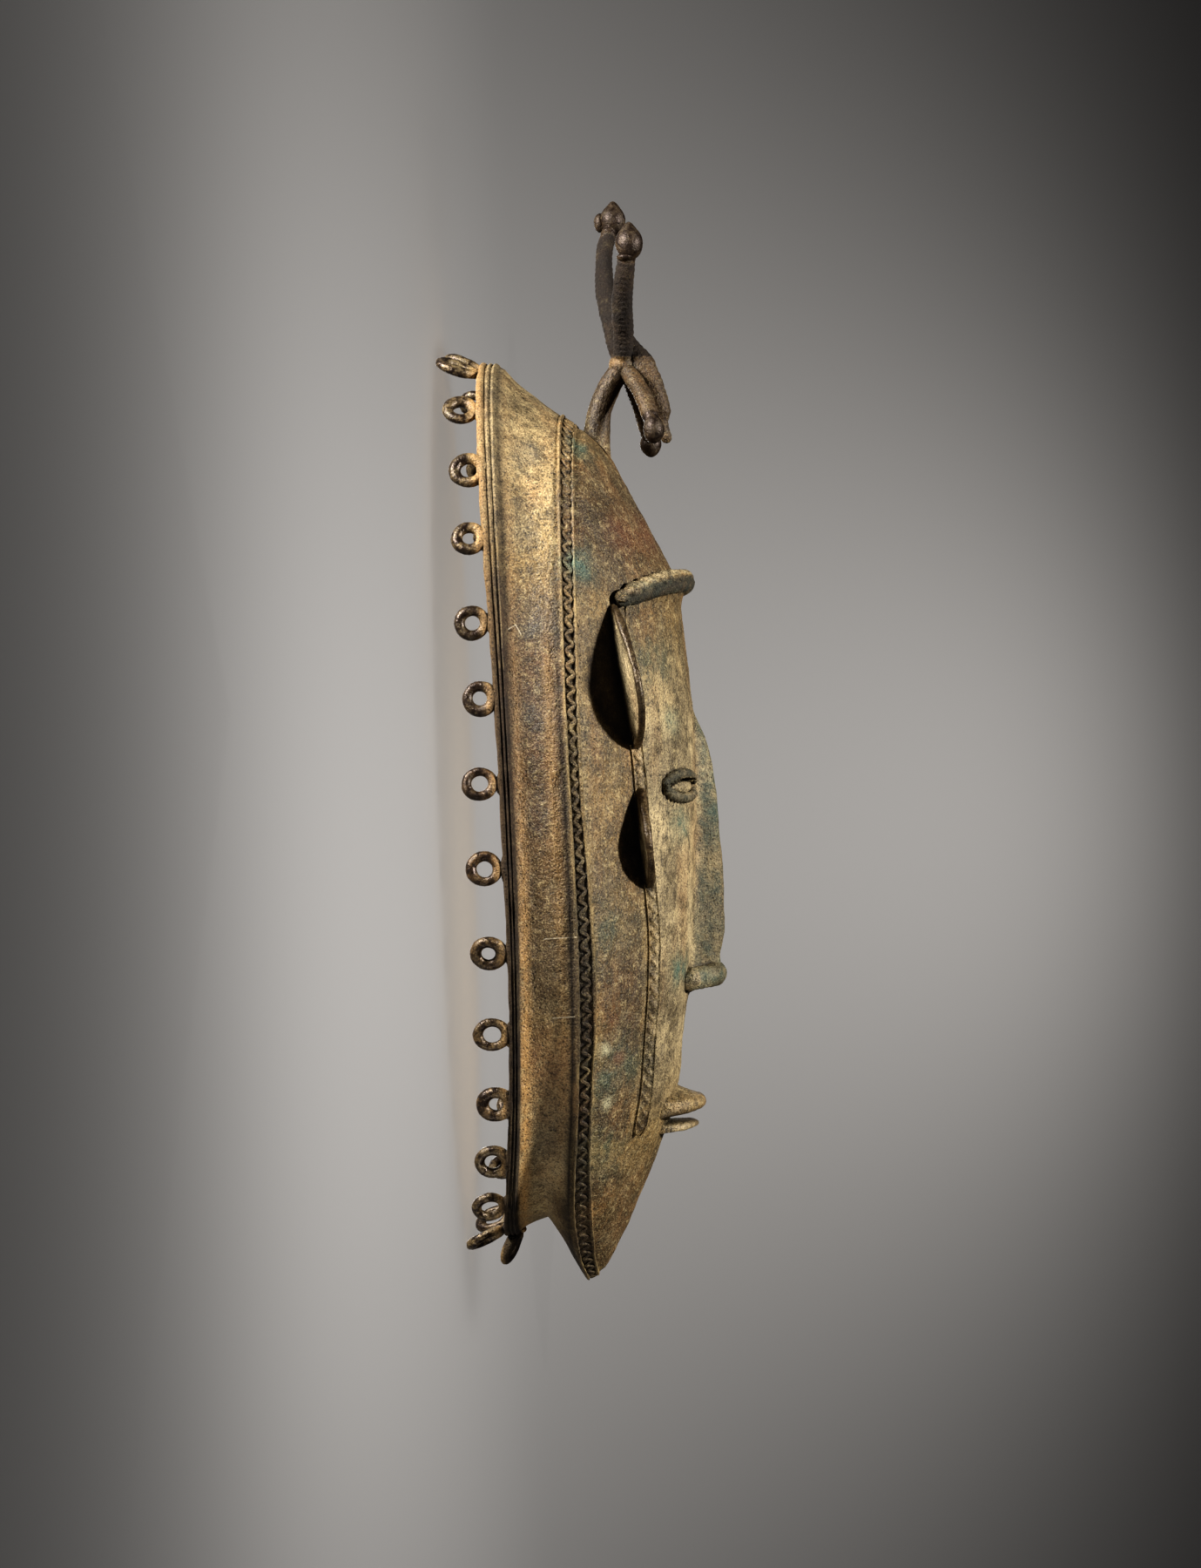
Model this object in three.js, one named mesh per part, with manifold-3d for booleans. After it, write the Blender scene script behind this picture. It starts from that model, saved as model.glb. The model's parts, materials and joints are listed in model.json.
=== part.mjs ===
// A hollow cast brass face mask, one casting, in millimetres.
// It lies on its back: +Z points out of the face, +Y towards the crest, X across.
// All round the open back stands a row of small loops, and the mask rests on their ends.
import * as THREE from 'three';
import { mergeVertices } from 'three/addons/utils/BufferGeometryUtils.js';
import Module from 'manifold-3d';

const wasm = await Module();
wasm.setup();

// Driving dimensions. Z is 0 at the floor that the loops stand on, and Y is 0 at half the length
const wall = 3.2;
const middleY = -19.2;
const rim = { halfWidth: 76, halfHeight: 138.8, roundness: 2.3 };
const waist = { halfWidth: 72.3, halfHeight: 131.1, middleY: -21.4 };
const plate = { halfWidth: 73, top: 101.8, tip: -172.6 };
const plateShape = { topRoundness: 2.4, tipRoundness: 2.6, tipPoint: 1.44 };
const spine = { top: 62, bottom: -106 };
const loop = { halfWidth: 5.5, wire: 1.55, rootInset: 1.7, rootSink: 0.5, drop: 5, segments: 8, sides: 4 };
const aroundSteps = 56;

// The loops stand at uneven steps round the outline, in degrees down from the crest on each side
const leftLoops = { first: 77, side: -1,
  steps: [15.6, 14, 11.9, 12.5, 10.1, 10.9, 10.8, 11.1, 11.5, 11.4, 11.7, 12.4, 14.8] };
const rightLoops = { first: 84, side: 1,
  steps: [15, 16.4, 13.2, 13.9, 11.4, 12.1, 12, 12.4, 12.8, 12.7, 13.6, 16.2] };
// Past these angles the loops lean outwards, and further on they are long enough to reach the floor
const leanFrom = 57;
const floorFrom = 75;
const chinLoop = { lean: 65, lift: 4, drop: 2.6 };

// Heights along the length of the mask, as pairs of Y and Z
const rimBack = [[120, 12.9], [65, 15.6], [12, 18.3], [-41, 19.5], [-67, 19.7], [-94, 19], [-121, 17.2],
  [-144, 14.2], [-158, 11.6]];
const rimFront = [[118, 20], [65, 22], [12, 23.3], [-41, 24], [-94, 22.7], [-121, 21], [-158, 17]];
const waistHeight = [[113, 28], [-20, 31], [-100, 29.5], [-153, 25.8]];
const bandBackEdge = [[102, 38], [37, 38.6], [0, 39], [-34, 39.8], [-68, 39.9], [-98, 39], [-122, 37.1],
  [-138, 35.3], [-151, 34.3], [-163, 34.8], [-172, 36.8]];
const bandFrontEdge = [[97, 43.3], [60, 43.8], [0, 44], [-20, 44.3], [-47, 45.7], [-68, 46.3], [-90, 45.7],
  [-106, 44], [-122, 42.4], [-138, 41.4], [-151, 41], [-171, 40.8]];
// The profile down the middle of the face, under the brow, nose and lips
const middleProfile = [[98, 43.4], [96.5, 45.2], [91, 51.2], [80, 57.4], [67, 64.1], [57, 68.8], [50, 71.9],
  [42, 73.6], [28, 74.9], [14, 76.2], [0, 77], [-20, 77], [-47, 76], [-65, 74.8], [-80, 73], [-91, 71],
  [-110, 68.4], [-122, 65.2], [-132, 61.3], [-144, 56.1], [-156, 50.2], [-167, 44.4], [-171, 41.4]];
// Half width of the raised inner face from brow to chin, as pairs of Y and X
const innerFaceEdge = [[44, 55], [20, 55.5], [-11, 52.8], [-30, 51.6], [-49, 49], [-66, 46.2],
  [-77, 45], [-98, 40.6], [-113, 36.6], [-125, 33]];

// A smooth curve through pairs of Y and value, read at any Y
function through(pairs, y) {
  const rising = [...pairs].sort((a, b) => a[0] - b[0]);
  const last = rising.length - 1;
  if (y <= rising[0][0]) return rising[0][1];
  if (y >= rising[last][0]) return rising[last][1];
  let i = 0;
  while (y > rising[i + 1][0]) i += 1;
  const [y0, v0] = rising[i];
  const [y1, v1] = rising[i + 1];
  const slope = (a, b) => (b[1] - a[1]) / (b[0] - a[0]);
  const here = (v1 - v0) / (y1 - y0);
  const before = i > 0 ? (slope(rising[i - 1], rising[i]) + here) / 2 : here;
  const after = i + 1 < last ? (here + slope(rising[i + 1], rising[i + 2])) / 2 : here;
  const u = (y - y0) / (y1 - y0);
  const ease = u * u * (3 - 2 * u);
  const bend = (y1 - y0) * u * (1 - u) * (before * (1 - u) - after * u);
  return v0 + (v1 - v0) * ease + bend;
}

const power = (value, exponent) => Math.sign(value) * Math.abs(value) ** exponent;

function ovalPoint(t, halfWidth, halfHeight, centreY, roundness) {
  return [halfWidth * power(Math.cos(t), 2 / roundness),
    centreY + halfHeight * power(Math.sin(t), 2 / roundness)];
}

// The face plate is round above and comes to a blunt point at the chin
function platePoint(t, inset) {
  const side = Math.cos(t);
  const rise = Math.sin(t);
  if (rise >= 0) {
    return ovalPoint(t, plate.halfWidth - inset.side, plate.top - inset.top - middleY, middleY,
      plateShape.topRoundness);
  }
  const drop = middleY - (plate.tip + inset.tip);
  return [(plate.halfWidth - inset.side) * power(side, plateShape.tipPoint),
    middleY + drop * power(rise, 2 / plateShape.tipRoundness)];
}

function plateHalfWidth(y) {
  if (y >= middleY) {
    const u = Math.min((y - middleY) / (plate.top - middleY), 0.999);
    return plate.halfWidth * (1 - u ** plateShape.topRoundness) ** (1 / plateShape.topRoundness);
  }
  const u = Math.min((middleY - y) / (middleY - plate.tip), 0.999);
  return plate.halfWidth * (1 - u ** plateShape.tipRoundness) ** (plateShape.tipPoint / 2);
}

// Height of the face over a point of the plan: a parabola from the band up to the middle profile
function faceHeight(x, y) {
  const edge = through(bandFrontEdge, y);
  const middle = through(middleProfile, y);
  const across = Math.min(Math.abs(x) / plateHalfWidth(y), 1);
  return edge + (middle - edge) * (1 - across * across);
}

// Joins rings of points into one closed skin, with a fan over each open end
function loft(rings, capped = true) {
  const positions = [];
  const count = rings[0].length;
  for (const ring of rings) {
    for (const p of ring) positions.push(p.x, p.y, p.z);
  }
  const triangles = [];
  for (let r = 0; r + 1 < rings.length; r += 1) {
    for (let i = 0; i < count; i += 1) {
      const a = r * count + i;
      const b = r * count + ((i + 1) % count);
      triangles.push(a, b, b + count, a, b + count, a + count);
    }
  }
  const ends = capped ? [0, rings.length - 1] : [0];
  for (const end of ends) {
    const centre = new THREE.Vector3();
    rings[end].forEach((p) => centre.add(p));
    centre.divideScalar(count);
    const hub = positions.length / 3;
    positions.push(centre.x, centre.y, centre.z);
    for (let i = 0; i < count; i += 1) {
      const a = end * count + i;
      const b = end * count + ((i + 1) % count);
      triangles.push(...(end === 0 ? [hub, b, a] : [hub, a, b]));
    }
  }
  const geometry = new THREE.BufferGeometry();
  geometry.setAttribute('position', new THREE.Float32BufferAttribute(positions, 3));
  geometry.setIndex(triangles);
  return geometry;
}

function signedVolume(points, index) {
  const corner = (k) => new THREE.Vector3().fromArray(points, index[k] * 3);
  let volume = 0;
  for (let k = 0; k < index.length; k += 3) {
    volume += corner(k).dot(corner(k + 1).cross(corner(k + 2))) / 6;
  }
  return volume;
}

// Turns a closed geometry into a solid, with its faces pointing out
function solid(geometry) {
  const bare = geometry.clone();
  bare.deleteAttribute('normal');
  bare.deleteAttribute('uv');
  const merged = mergeVertices(bare, 1e-4);
  const index = [];
  const source = merged.index.array;
  for (let k = 0; k < source.length; k += 3) {
    const [a, b, c] = [source[k], source[k + 1], source[k + 2]];
    if (a !== b && b !== c && a !== c) index.push(a, b, c);
  }
  const points = merged.attributes.position.array;
  if (signedVolume(points, index) < 0) index.reverse();
  return new wasm.Manifold(new wasm.Mesh({
    numProp: 3,
    vertProperties: new Float32Array(points),
    triVerts: new Uint32Array(index),
  }));
}

// A bar of oval section along points, flattened towards a direction: each stop is
// { at, wide, thick }, and up tells which way thick is measured
function bar(stops, up, sides = 8) {
  const rings = stops.map((stop, k) => {
    const before = stops[Math.max(k - 1, 0)].at;
    const after = stops[Math.min(k + 1, stops.length - 1)].at;
    const along = new THREE.Vector3().subVectors(after, before).normalize();
    const across = new THREE.Vector3().crossVectors(along, stop.up ?? up).normalize();
    const out = new THREE.Vector3().crossVectors(across, along).normalize();
    return Array.from({ length: sides }, (_, i) => {
      const a = ((i + 0.5) / sides) * Math.PI * 2;
      return stop.at.clone()
        .addScaledVector(across, stop.wide * Math.cos(a))
        .addScaledVector(out, stop.thick * Math.sin(a));
    });
  });
  return solid(loft(rings));
}

const vector = (x, y, z) => new THREE.Vector3(x, y, z);

function ball(centre, radius, lengthened = 1) {
  const geometry = new THREE.SphereGeometry(radius, 8, 6);
  geometry.scale(1, lengthened, 1);
  geometry.translate(centre.x, centre.y, centre.z);
  return solid(geometry);
}

const joined = (solids) => solids.reduce((all, next) => all.add(next));
const mirroredInX = (make) => joined([-1, 1].map((side) => make(side)));

// The shell: an open bowl with a moulded rim, a waist, a flaring wall, a band and the face

// The rim's ridges and grooves, each as its inset and its share of the way from back to front
const rimMoulding = [[0.6, 0], [0, 0.2], [0.9, 0.52], [0.2, 0.84]];
const rimStep = 1.9;
const rimLip = 0.4;
const wallHollow = 0.9;
const bandBulge = 0.7;

function ringOf(point) {
  return Array.from({ length: aroundSteps }, (_, i) => {
    const t = ((i + 0.5) / aroundSteps) * Math.PI * 2;
    return point(t);
  });
}

// A ring of the rim moulding: share runs from its back edge to its front one
function rimRing(inset, share, lift = 0) {
  return ringOf((t) => {
    const [x, y] = ovalPoint(t, rim.halfWidth - inset, rim.halfHeight - inset, middleY, rim.roundness);
    const back = through(rimBack, y);
    return vector(x, y, back + (through(rimFront, y) - back) * share + lift);
  });
}

function waistRing(inset, lift) {
  return ringOf((t) => {
    const [x, y] = waistPoint(t, inset);
    return vector(x, y, through(waistHeight, y) + lift);
  });
}

function waistPoint(t, inset) {
  return ovalPoint(t, waist.halfWidth - inset, waist.halfHeight - inset, waist.middleY,
    rim.roundness);
}

// The wall is slightly hollow between the rim and the waist
function hollowRing(inset) {
  const front = rimRing(rimStep, 1, rimLip);
  return waistRing(0, 0).map((point, i) => {
    const halfway = point.add(front[i]).multiplyScalar(0.5);
    const inward = vector(-halfway.x, middleY - halfway.y, 0).normalize();
    return halfway.addScaledVector(inward, inset);
  });
}

// A ring part of the way from the waist to the back edge of the band
function flareRing(share) {
  return ringOf((t) => {
    const [wx, wy] = waistPoint(t, 0);
    const [px, py] = platePoint(t, { side: 0, top: 0, tip: 0 });
    const from = vector(wx, wy, through(waistHeight, wy));
    return from.lerp(vector(px, py, through(bandBackEdge, py)), share);
  });
}

const bandFrontInset = { side: 0.9, top: 4, tip: 1.8 };

function bandRing(share, proud) {
  return ringOf((t) => {
    const inset = {
      side: bandFrontInset.side * share - proud,
      top: bandFrontInset.top * share - proud * 0.7,
      tip: bandFrontInset.tip * share - proud * 0.8,
    };
    const [x, y] = platePoint(t, inset);
    const back = through(bandBackEdge, y);
    const front = through(bandFrontEdge, y);
    return vector(x, y, back + (front - back) * share + proud * 0.3);
  });
}

// Rings of the face run from the band to a line down its middle, where the two halves meet
function faceRing(share, inset, sink) {
  return ringOf((t) => {
    const [ex, ey] = platePoint(t, inset);
    const reach = (spine.top - spine.bottom) / 2;
    const centreY = (spine.top + spine.bottom) / 2 + reach * power(Math.sin(t), 0.9);
    const x = ex * (1 - share);
    const y = ey + (centreY - ey) * share;
    return vector(x, y, faceHeight(x, y) - sink);
  });
}

const faceShares = [0.12, 0.28, 0.48, 0.72, 1];
// The hollow follows the outside at the wall's thickness, and opens behind the rim
const rimWidth = 6.3;
const cutBehind = 3;
const insideInset = { side: 3.8, top: 6.5, tip: 7.5 };
const innerShares = [0.2, 0.5, 1];

function outside() {
  return solid(loft([
    ...rimMoulding.map(([inset, share]) => rimRing(inset, share)),
    rimRing(rimStep, 1, rimLip),
    hollowRing(wallHollow),
    waistRing(0, 0),
    flareRing(0.5),
    bandRing(0, 0),
    bandRing(0.5, bandBulge),
    faceRing(0, bandFrontInset, 0),
    ...faceShares.map((share) => faceRing(share, bandFrontInset, 0)),
  ], false));
}

function hollow() {
  return solid(loft([
    rimRing(rimWidth, 0, -cutBehind),
    rimRing(rimWidth, 1),
    waistRing(wall, 0),
    faceRing(0, insideInset, wall),
    ...innerShares.map((share) => faceRing(share, insideInset, wall)),
  ], false));
}

// The row of loops round the open back

function loops() {
  const all = [chinLoopSolid()];
  for (const { first, side, steps } of [leftLoops, rightLoops]) {
    let angle = first;
    for (const step of [...steps, 0]) {
      all.push(loopAt(side, angle));
      angle -= step;
    }
  }
  return joined(all);
}

// A loop of the rim, by its angle round the outline
function loopAt(side, angle) {
  const rise = Math.sin(THREE.MathUtils.degToRad(angle));
  const y = middleY + (rim.halfHeight - loop.rootInset) * rise;
  const across = (1 - Math.abs(rise) ** rim.roundness) ** (1 / rim.roundness);
  const root = vector(side * (rim.halfWidth - loop.rootInset) * across, y, through(rimBack, y));
  const lean = Math.max(Math.abs(angle) - leanFrom, 0);
  const floorDrop = (root.z - loop.rootSink * Math.cos(THREE.MathUtils.degToRad(lean))) / 2;
  return oneLoop(root, lean, Math.abs(angle) > floorFrom ? floorDrop : loop.drop);
}

// The middle loop under the chin springs from higher up the rim and leans far out
function chinLoopSolid() {
  const y = middleY - (rim.halfHeight - loop.rootInset);
  return oneLoop(vector(0, y, through(rimBack, y) + chinLoop.lift), chinLoop.lean, chinLoop.drop);
}

// One loop stands on its root in the plane of the wall, or leans outwards from it
function oneLoop(root, leanDegrees, drop) {
  const outward = vector(root.x / rim.halfWidth ** 2, (root.y - middleY) / rim.halfHeight ** 2, 0);
  outward.normalize();
  const alongEdge = vector(-outward.y, outward.x, 0);
  const lean = THREE.MathUtils.degToRad(leanDegrees);
  const backward = vector(0, 0, -Math.cos(lean)).addScaledVector(outward, Math.sin(lean));
  const faceOut = new THREE.Vector3().crossVectors(alongEdge, backward);
  const reach = drop / Math.cos(lean);
  const centre = root.clone().addScaledVector(backward, reach);
  const halfLength = reach + loop.rootSink;
  const rings = [];
  for (let i = 0; i <= loop.segments; i += 1) {
    const a = ((i % loop.segments) / loop.segments) * Math.PI * 2;
    const radial = alongEdge.clone().multiplyScalar(Math.sin(a)).addScaledVector(backward, Math.cos(a));
    const hub = centre.clone()
      .addScaledVector(alongEdge, (loop.halfWidth - loop.wire) * Math.sin(a))
      .addScaledVector(backward, (halfLength - loop.wire) * Math.cos(a));
    rings.push(Array.from({ length: loop.sides }, (_, k) => {
      const b = (k / loop.sides) * Math.PI * 2;
      return hub.clone()
        .addScaledVector(radial, loop.wire * Math.cos(b))
        .addScaledVector(faceOut, loop.wire * Math.sin(b));
    }));
  }
  return solid(openLoft(rings));
}

// Rings joined end to end into a closed hoop, without caps
function openLoft(rings) {
  const positions = rings.flat().flatMap((p) => [p.x, p.y, p.z]);
  const count = rings[0].length;
  const triangles = [];
  for (let r = 0; r + 1 < rings.length; r += 1) {
    for (let i = 0; i < count; i += 1) {
      const a = r * count + i;
      const b = r * count + ((i + 1) % count);
      triangles.push(a, b, b + count, a, b + count, a + count);
    }
  }
  const geometry = new THREE.BufferGeometry();
  geometry.setAttribute('position', new THREE.Float32BufferAttribute(positions, 3));
  geometry.setIndex(triangles);
  return geometry;
}

// The face: brow, nose, eyes, mouth, ears and the strips down the jaw

function onFace(x, y, proud) {
  return vector(x, y, faceHeight(x, y) + proud);
}

// Which way the face surface looks at a point
function faceNormal(x, y) {
  const step = 0.5;
  const slopeX = (faceHeight(x + step, y) - faceHeight(x - step, y)) / (2 * step);
  const slopeY = (faceHeight(x, y + step) - faceHeight(x, y - step)) / (2 * step);
  return vector(-slopeX, -slopeY, 1).normalize();
}

function brow() {
  const halfSpan = 53;
  const archTop = 47.4;
  const archDrop = 7;
  const stops = [];
  for (let i = -6; i <= 6; i += 1) {
    const x = (i / 6) * halfSpan;
    const y = archTop - archDrop * Math.abs(x / halfSpan) ** 2.6;
    const taper = Math.abs(i) === 6 ? 0.7 : 1;
    stops.push({
      at: onFace(x, y, 0).addScaledVector(faceNormal(x, y), 2.4),
      wide: 3.5 * taper,
      thick: 3.6 * taper,
      up: faceNormal(x, y),
    });
  }
  return bar(stops, vector(0, 0, 1), 8);
}

// The nose is a long sharp wedge that widens downwards
const noseRidge = [[8, 76.6], [3.5, 78], [-3, 81], [-11, 82.3], [-22, 83.3], [-36, 84.1], [-52, 84.6],
  [-65, 84.3], [-71, 82.8], [-77, 82.6]];

function nose() {
  const rings = noseRidge.map(([y, z], i) => {
    const half = 3 + (6 * i) / (noseRidge.length - 1);
    const root = faceHeight(half, y) - 2;
    return [vector(-half, y, root), vector(-half * 0.55, y, (root + z) / 2 + 0.6),
      vector(-1, y, z), vector(1, y, z), vector(half * 0.55, y, (root + z) / 2 + 0.6),
      vector(half, y, root)];
  });
  return solid(loft(rings));
}

// The nostrils are one bar across the foot of the nose, curving back to the face
function nostrils() {
  const halfSpan = 13.5;
  const tipZ = 81.4;
  const y = -77;
  const stops = [];
  for (let i = -4; i <= 4; i += 1) {
    const x = (i / 4) * halfSpan;
    const fall = (Math.abs(i) / 4) ** 2.2;
    const z = tipZ + (faceHeight(x, y) + 1 - tipZ) * fall;
    stops.push({ at: vector(x, y - 1.2 * fall, z), wide: 3.7, thick: 3.9 });
  }
  return bar(stops, vector(0, 1, 0), 8);
}

// Each lip is a flat tongue with a curved front, thinner towards its edge
const lips = [
  { halfSpan: 20, rootY: -119, tipY: -117, tipZ: 76.9, thickness: 6.2 },
  { halfSpan: 17.5, rootY: -125.6, tipY: -124.2, tipZ: 74.4, thickness: 3.4 },
];
const lipSink = 2.2;

function lip({ halfSpan, rootY, tipY, tipZ, thickness }) {
  const rings = [];
  const steps = 8;
  for (let i = -steps / 2; i <= steps / 2; i += 1) {
    const share = i / (steps / 2);
    const x = share * halfSpan;
    const forward = Math.sqrt(Math.max(1 - share * share * 0.98, 0));
    const root = faceHeight(x, rootY) - lipSink;
    const front = root + 1.5 + (tipZ - root - 1.5) * forward;
    const y = rootY + (tipY - rootY) * forward;
    const half = thickness / 2;
    rings.push([vector(x, rootY + half, root), vector(x, y + half * 0.7, front - 1.2),
      vector(x, y, front), vector(x, y - half * 0.7, front - 1.2), vector(x, rootY - half, root)]);
  }
  return solid(loft(rings));
}

const eye = { x: 26, y: -17, halfLength: 14, halfHeight: 5.1, slitX: 28, slitHalf: 7 };

function eyeLids(side) {
  const stops = [];
  const openHalfAngle = 0.55;
  const steps = 9;
  for (let i = 0; i <= steps; i += 1) {
    const a = openHalfAngle + ((2 * Math.PI - 2 * openHalfAngle) * i) / steps;
    const x = eye.x - (eye.halfLength - 1.6) * Math.cos(a);
    const y = eye.y + (eye.halfHeight - 1.2) * Math.sin(a);
    stops.push({ at: onFace(side * x, y, 0.4), wide: 1.3, thick: 1.6 });
  }
  return bar(stops, vector(0, 0, 1), 6);
}

function eyeSlit(side) {
  const slit = new THREE.SphereGeometry(1, 12, 6);
  slit.scale(eye.slitHalf, 1.7, 9);
  slit.translate(side * eye.slitX, eye.y, faceHeight(eye.slitX, eye.y));
  return solid(slit);
}

// An ear is a thin half disc that stands out sideways and leans forward, with a bead on its edge
const ears = [
  { top: 39.5, bottom: -4.8, reach: 18, lean: 0.22 },
  { top: -16.9, bottom: -47.7, reach: 13.5, lean: 0.1 },
];
const earSheet = 1.3;

function ear(side, { top, bottom, reach, lean }) {
  const half = (top - bottom) / 2;
  const centre = (top + bottom) / 2;
  const edgeX = (y) => through(innerFaceEdge, y);
  const steps = 7;
  const rootLine = [];
  const freeLine = [];
  for (let i = 0; i <= steps; i += 1) {
    const a = (i / steps) * Math.PI;
    const y = centre + half * Math.cos(a);
    const x = edgeX(y);
    const out = reach * Math.sin(a) ** 0.8;
    const rootZ = faceHeight(x, y);
    rootLine.push(vector(side * (x - 1.5), y, rootZ - 0.6));
    freeLine.push(vector(side * (x + out), y, rootZ + 0.6 + out * lean));
  }
  const lift = vector(0, 0, earSheet);
  const rings = rootLine.map((root, i) => {
    const free = freeLine[i].clone();
    if (i === 0 || i === steps) free.x += side * 0.6;
    return [root.clone().add(lift), free.clone().add(lift), free.clone().sub(lift),
      root.clone().sub(lift)];
  });
  const bead = bar(freeLine.map((at) => ({ at, wide: 1.9, thick: 1.9 })), vector(0, 0, 1), 5);
  return solid(loft(rings)).add(bead);
}

// A narrow raised strip follows the edge of the inner face from the ears to a rounded foot
function jawStrip(side) {
  const top = -4;
  const foot = -125;
  const steps = 10;
  const stops = [];
  for (let i = 0; i <= steps; i += 1) {
    const y = top + ((foot - top) * i) / steps;
    const x = side * through(innerFaceEdge, y);
    stops.push({ at: onFace(x, y, 0.3), wide: 1.9, thick: 1.7, up: faceNormal(x, y) });
  }
  return bar(stops, vector(0, 0, 1), 6);
}

// The crest: a round stem, two horns, two limbs and a curled back, joined at one knot

const knot = vector(0, 117.5, 57.8);

function stem() {
  const stops = [
    { at: vector(0, 89, 47), wide: 6.2, thick: 6.6 },
    { at: vector(0, 94.7, 48.6), wide: 4.8, thick: 4.9 },
    { at: vector(0, 103.8, 50.3), wide: 3.8, thick: 3.9 },
    { at: vector(0, 111.5, 53.9), wide: 3.4, thick: 3.5 },
    { at: vector(0, 118, 58.4), wide: 3.6, thick: 3.4 },
  ];
  return bar(stops, vector(1, 0, 0), 8);
}

// A horn or limb runs from the knot through its places to its knob
function arm({ places, wide, thick, knob, radius, lengthened }) {
  const stops = [knot, ...places].map((at, i) => {
    const swell = i === 0 ? 0.8 : 1;
    return { at, wide: wide * swell, thick: thick * swell };
  });
  return bar(stops, vector(0, 0, 1), 6).add(ball(knob, radius, lengthened));
}

const nearHorn = { wide: 3.4, thick: 2.3, knob: vector(-22, 153.7, 62.1), radius: 4.4, lengthened: 1.38,
  places: [vector(-5, 126.9, 58.2), vector(-12, 135.5, 57.9), vector(-18, 144, 59), vector(-22, 153, 61.8)] };
const farHorn = { wide: 3.3, thick: 1.9, knob: vector(22, 166.9, 55.6), radius: 4.1, lengthened: 1.34,
  places: [vector(5, 129.5, 54.6), vector(12, 143, 52), vector(18, 155.5, 52.2), vector(22, 166.4, 55.2)] };
const nearLimb = { wide: 2.7, thick: 2.2, knob: vector(-16.3, 95.6, 67.6), radius: 3.2, lengthened: 1.4,
  places: [vector(-5, 112.5, 61), vector(-11, 105, 64.6), vector(-16, 96, 67.5)] };
const farLimb = { wide: 2.7, thick: 2.2, knob: vector(16.3, 93.6, 65.6), radius: 3.2, lengthened: 1.4,
  places: [vector(5, 112, 60.8), vector(11, 104, 63.6), vector(16, 94, 65.6)] };

// The back stands in front of the knot and ends below in a small curl
function curledBack() {
  const stops = [
    { at: vector(0, 123.6, 61.5), wide: 2.3, thick: 2 },
    { at: vector(0, 117, 65.2), wide: 3.4, thick: 3 },
    { at: vector(0, 110, 67.6), wide: 3.6, thick: 3 },
    { at: vector(0, 103, 70.2), wide: 3.2, thick: 2.8 },
    { at: vector(0, 97.5, 70.6), wide: 2.6, thick: 2.4 },
    { at: vector(0, 93.8, 71), wide: 2, thick: 2 },
  ];
  const neck = [knot, vector(0, 115, 65.5)].map((at) => ({ at, wide: 3, thick: 3 }));
  return bar(stops, vector(1, 0, 0), 8).add(bar(neck, vector(1, 0, 0), 6));
}

function crest() {
  return joined([
    stem(),
    ball(knot, 4.6),
    ...[nearHorn, farHorn, nearLimb, farLimb].map(arm),
    curledBack(),
  ]);
}

const solidMask = joined([
  outside(),
  loops(),
  brow(),
  nose(),
  nostrils(),
  ...lips.map(lip),
  mirroredInX(eyeLids),
  mirroredInX(jawStrip),
  ...ears.map((one) => mirroredInX((side) => ear(side, one))),
  crest(),
]);
const body = solidMask.subtract(hollow()).subtract(mirroredInX(eyeSlit));

function geometryOf(manifold) {
  const mesh = manifold.getMesh();
  const geometry = new THREE.BufferGeometry();
  geometry.setAttribute('position', new THREE.BufferAttribute(new Float32Array(mesh.vertProperties), 3));
  geometry.setIndex(new THREE.BufferAttribute(new Uint32Array(mesh.triVerts), 1));
  return geometry;
}

const brass = new THREE.MeshStandardMaterial({ color: 0x7d6b48, roughness: 0.6, metalness: 0.7 });
const mask = new THREE.Mesh(geometryOf(body), brass);
mask.name = 'mask';

const group = new THREE.Group();
group.add(mask);

export default group;
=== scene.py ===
# %% [markdown]
# # An old cast brass face mask
#
# The real mask was modelled in wax over a clay core, with wax threads laid on for the ornament, and was then
# cast in brass by the lost wax process. This lesson follows the founder: a sheet of squares is wrapped
# round like a sheet of wax, threads and bars are rolled and laid on it, everything is fused into one casting,
# and the casting is then given the earth, the patina and the polish that long use has left on it.
#
# The mask lies on its back: Z points out of the face, Y from the chin to the crest, and X across.

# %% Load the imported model
import json
import math
import bpy
import numpy as np
from mathutils import Matrix, Vector
from mathutils.bvhtree import BVHTree

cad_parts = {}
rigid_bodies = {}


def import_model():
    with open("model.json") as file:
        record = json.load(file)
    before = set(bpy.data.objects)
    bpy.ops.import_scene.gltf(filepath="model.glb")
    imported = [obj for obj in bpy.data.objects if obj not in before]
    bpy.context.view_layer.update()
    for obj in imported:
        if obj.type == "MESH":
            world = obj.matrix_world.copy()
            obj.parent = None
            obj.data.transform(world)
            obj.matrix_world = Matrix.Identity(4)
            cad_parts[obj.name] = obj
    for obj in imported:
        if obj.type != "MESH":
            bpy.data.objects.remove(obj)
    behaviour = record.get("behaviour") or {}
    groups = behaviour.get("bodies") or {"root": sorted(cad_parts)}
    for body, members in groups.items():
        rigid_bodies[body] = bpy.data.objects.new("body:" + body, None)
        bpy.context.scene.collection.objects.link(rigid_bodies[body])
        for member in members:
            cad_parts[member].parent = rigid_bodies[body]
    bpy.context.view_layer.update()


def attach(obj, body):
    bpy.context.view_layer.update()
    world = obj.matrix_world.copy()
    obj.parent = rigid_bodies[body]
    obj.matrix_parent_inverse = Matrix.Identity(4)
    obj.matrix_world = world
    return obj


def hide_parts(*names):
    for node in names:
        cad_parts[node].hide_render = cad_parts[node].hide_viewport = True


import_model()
MM = 0.001

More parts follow.
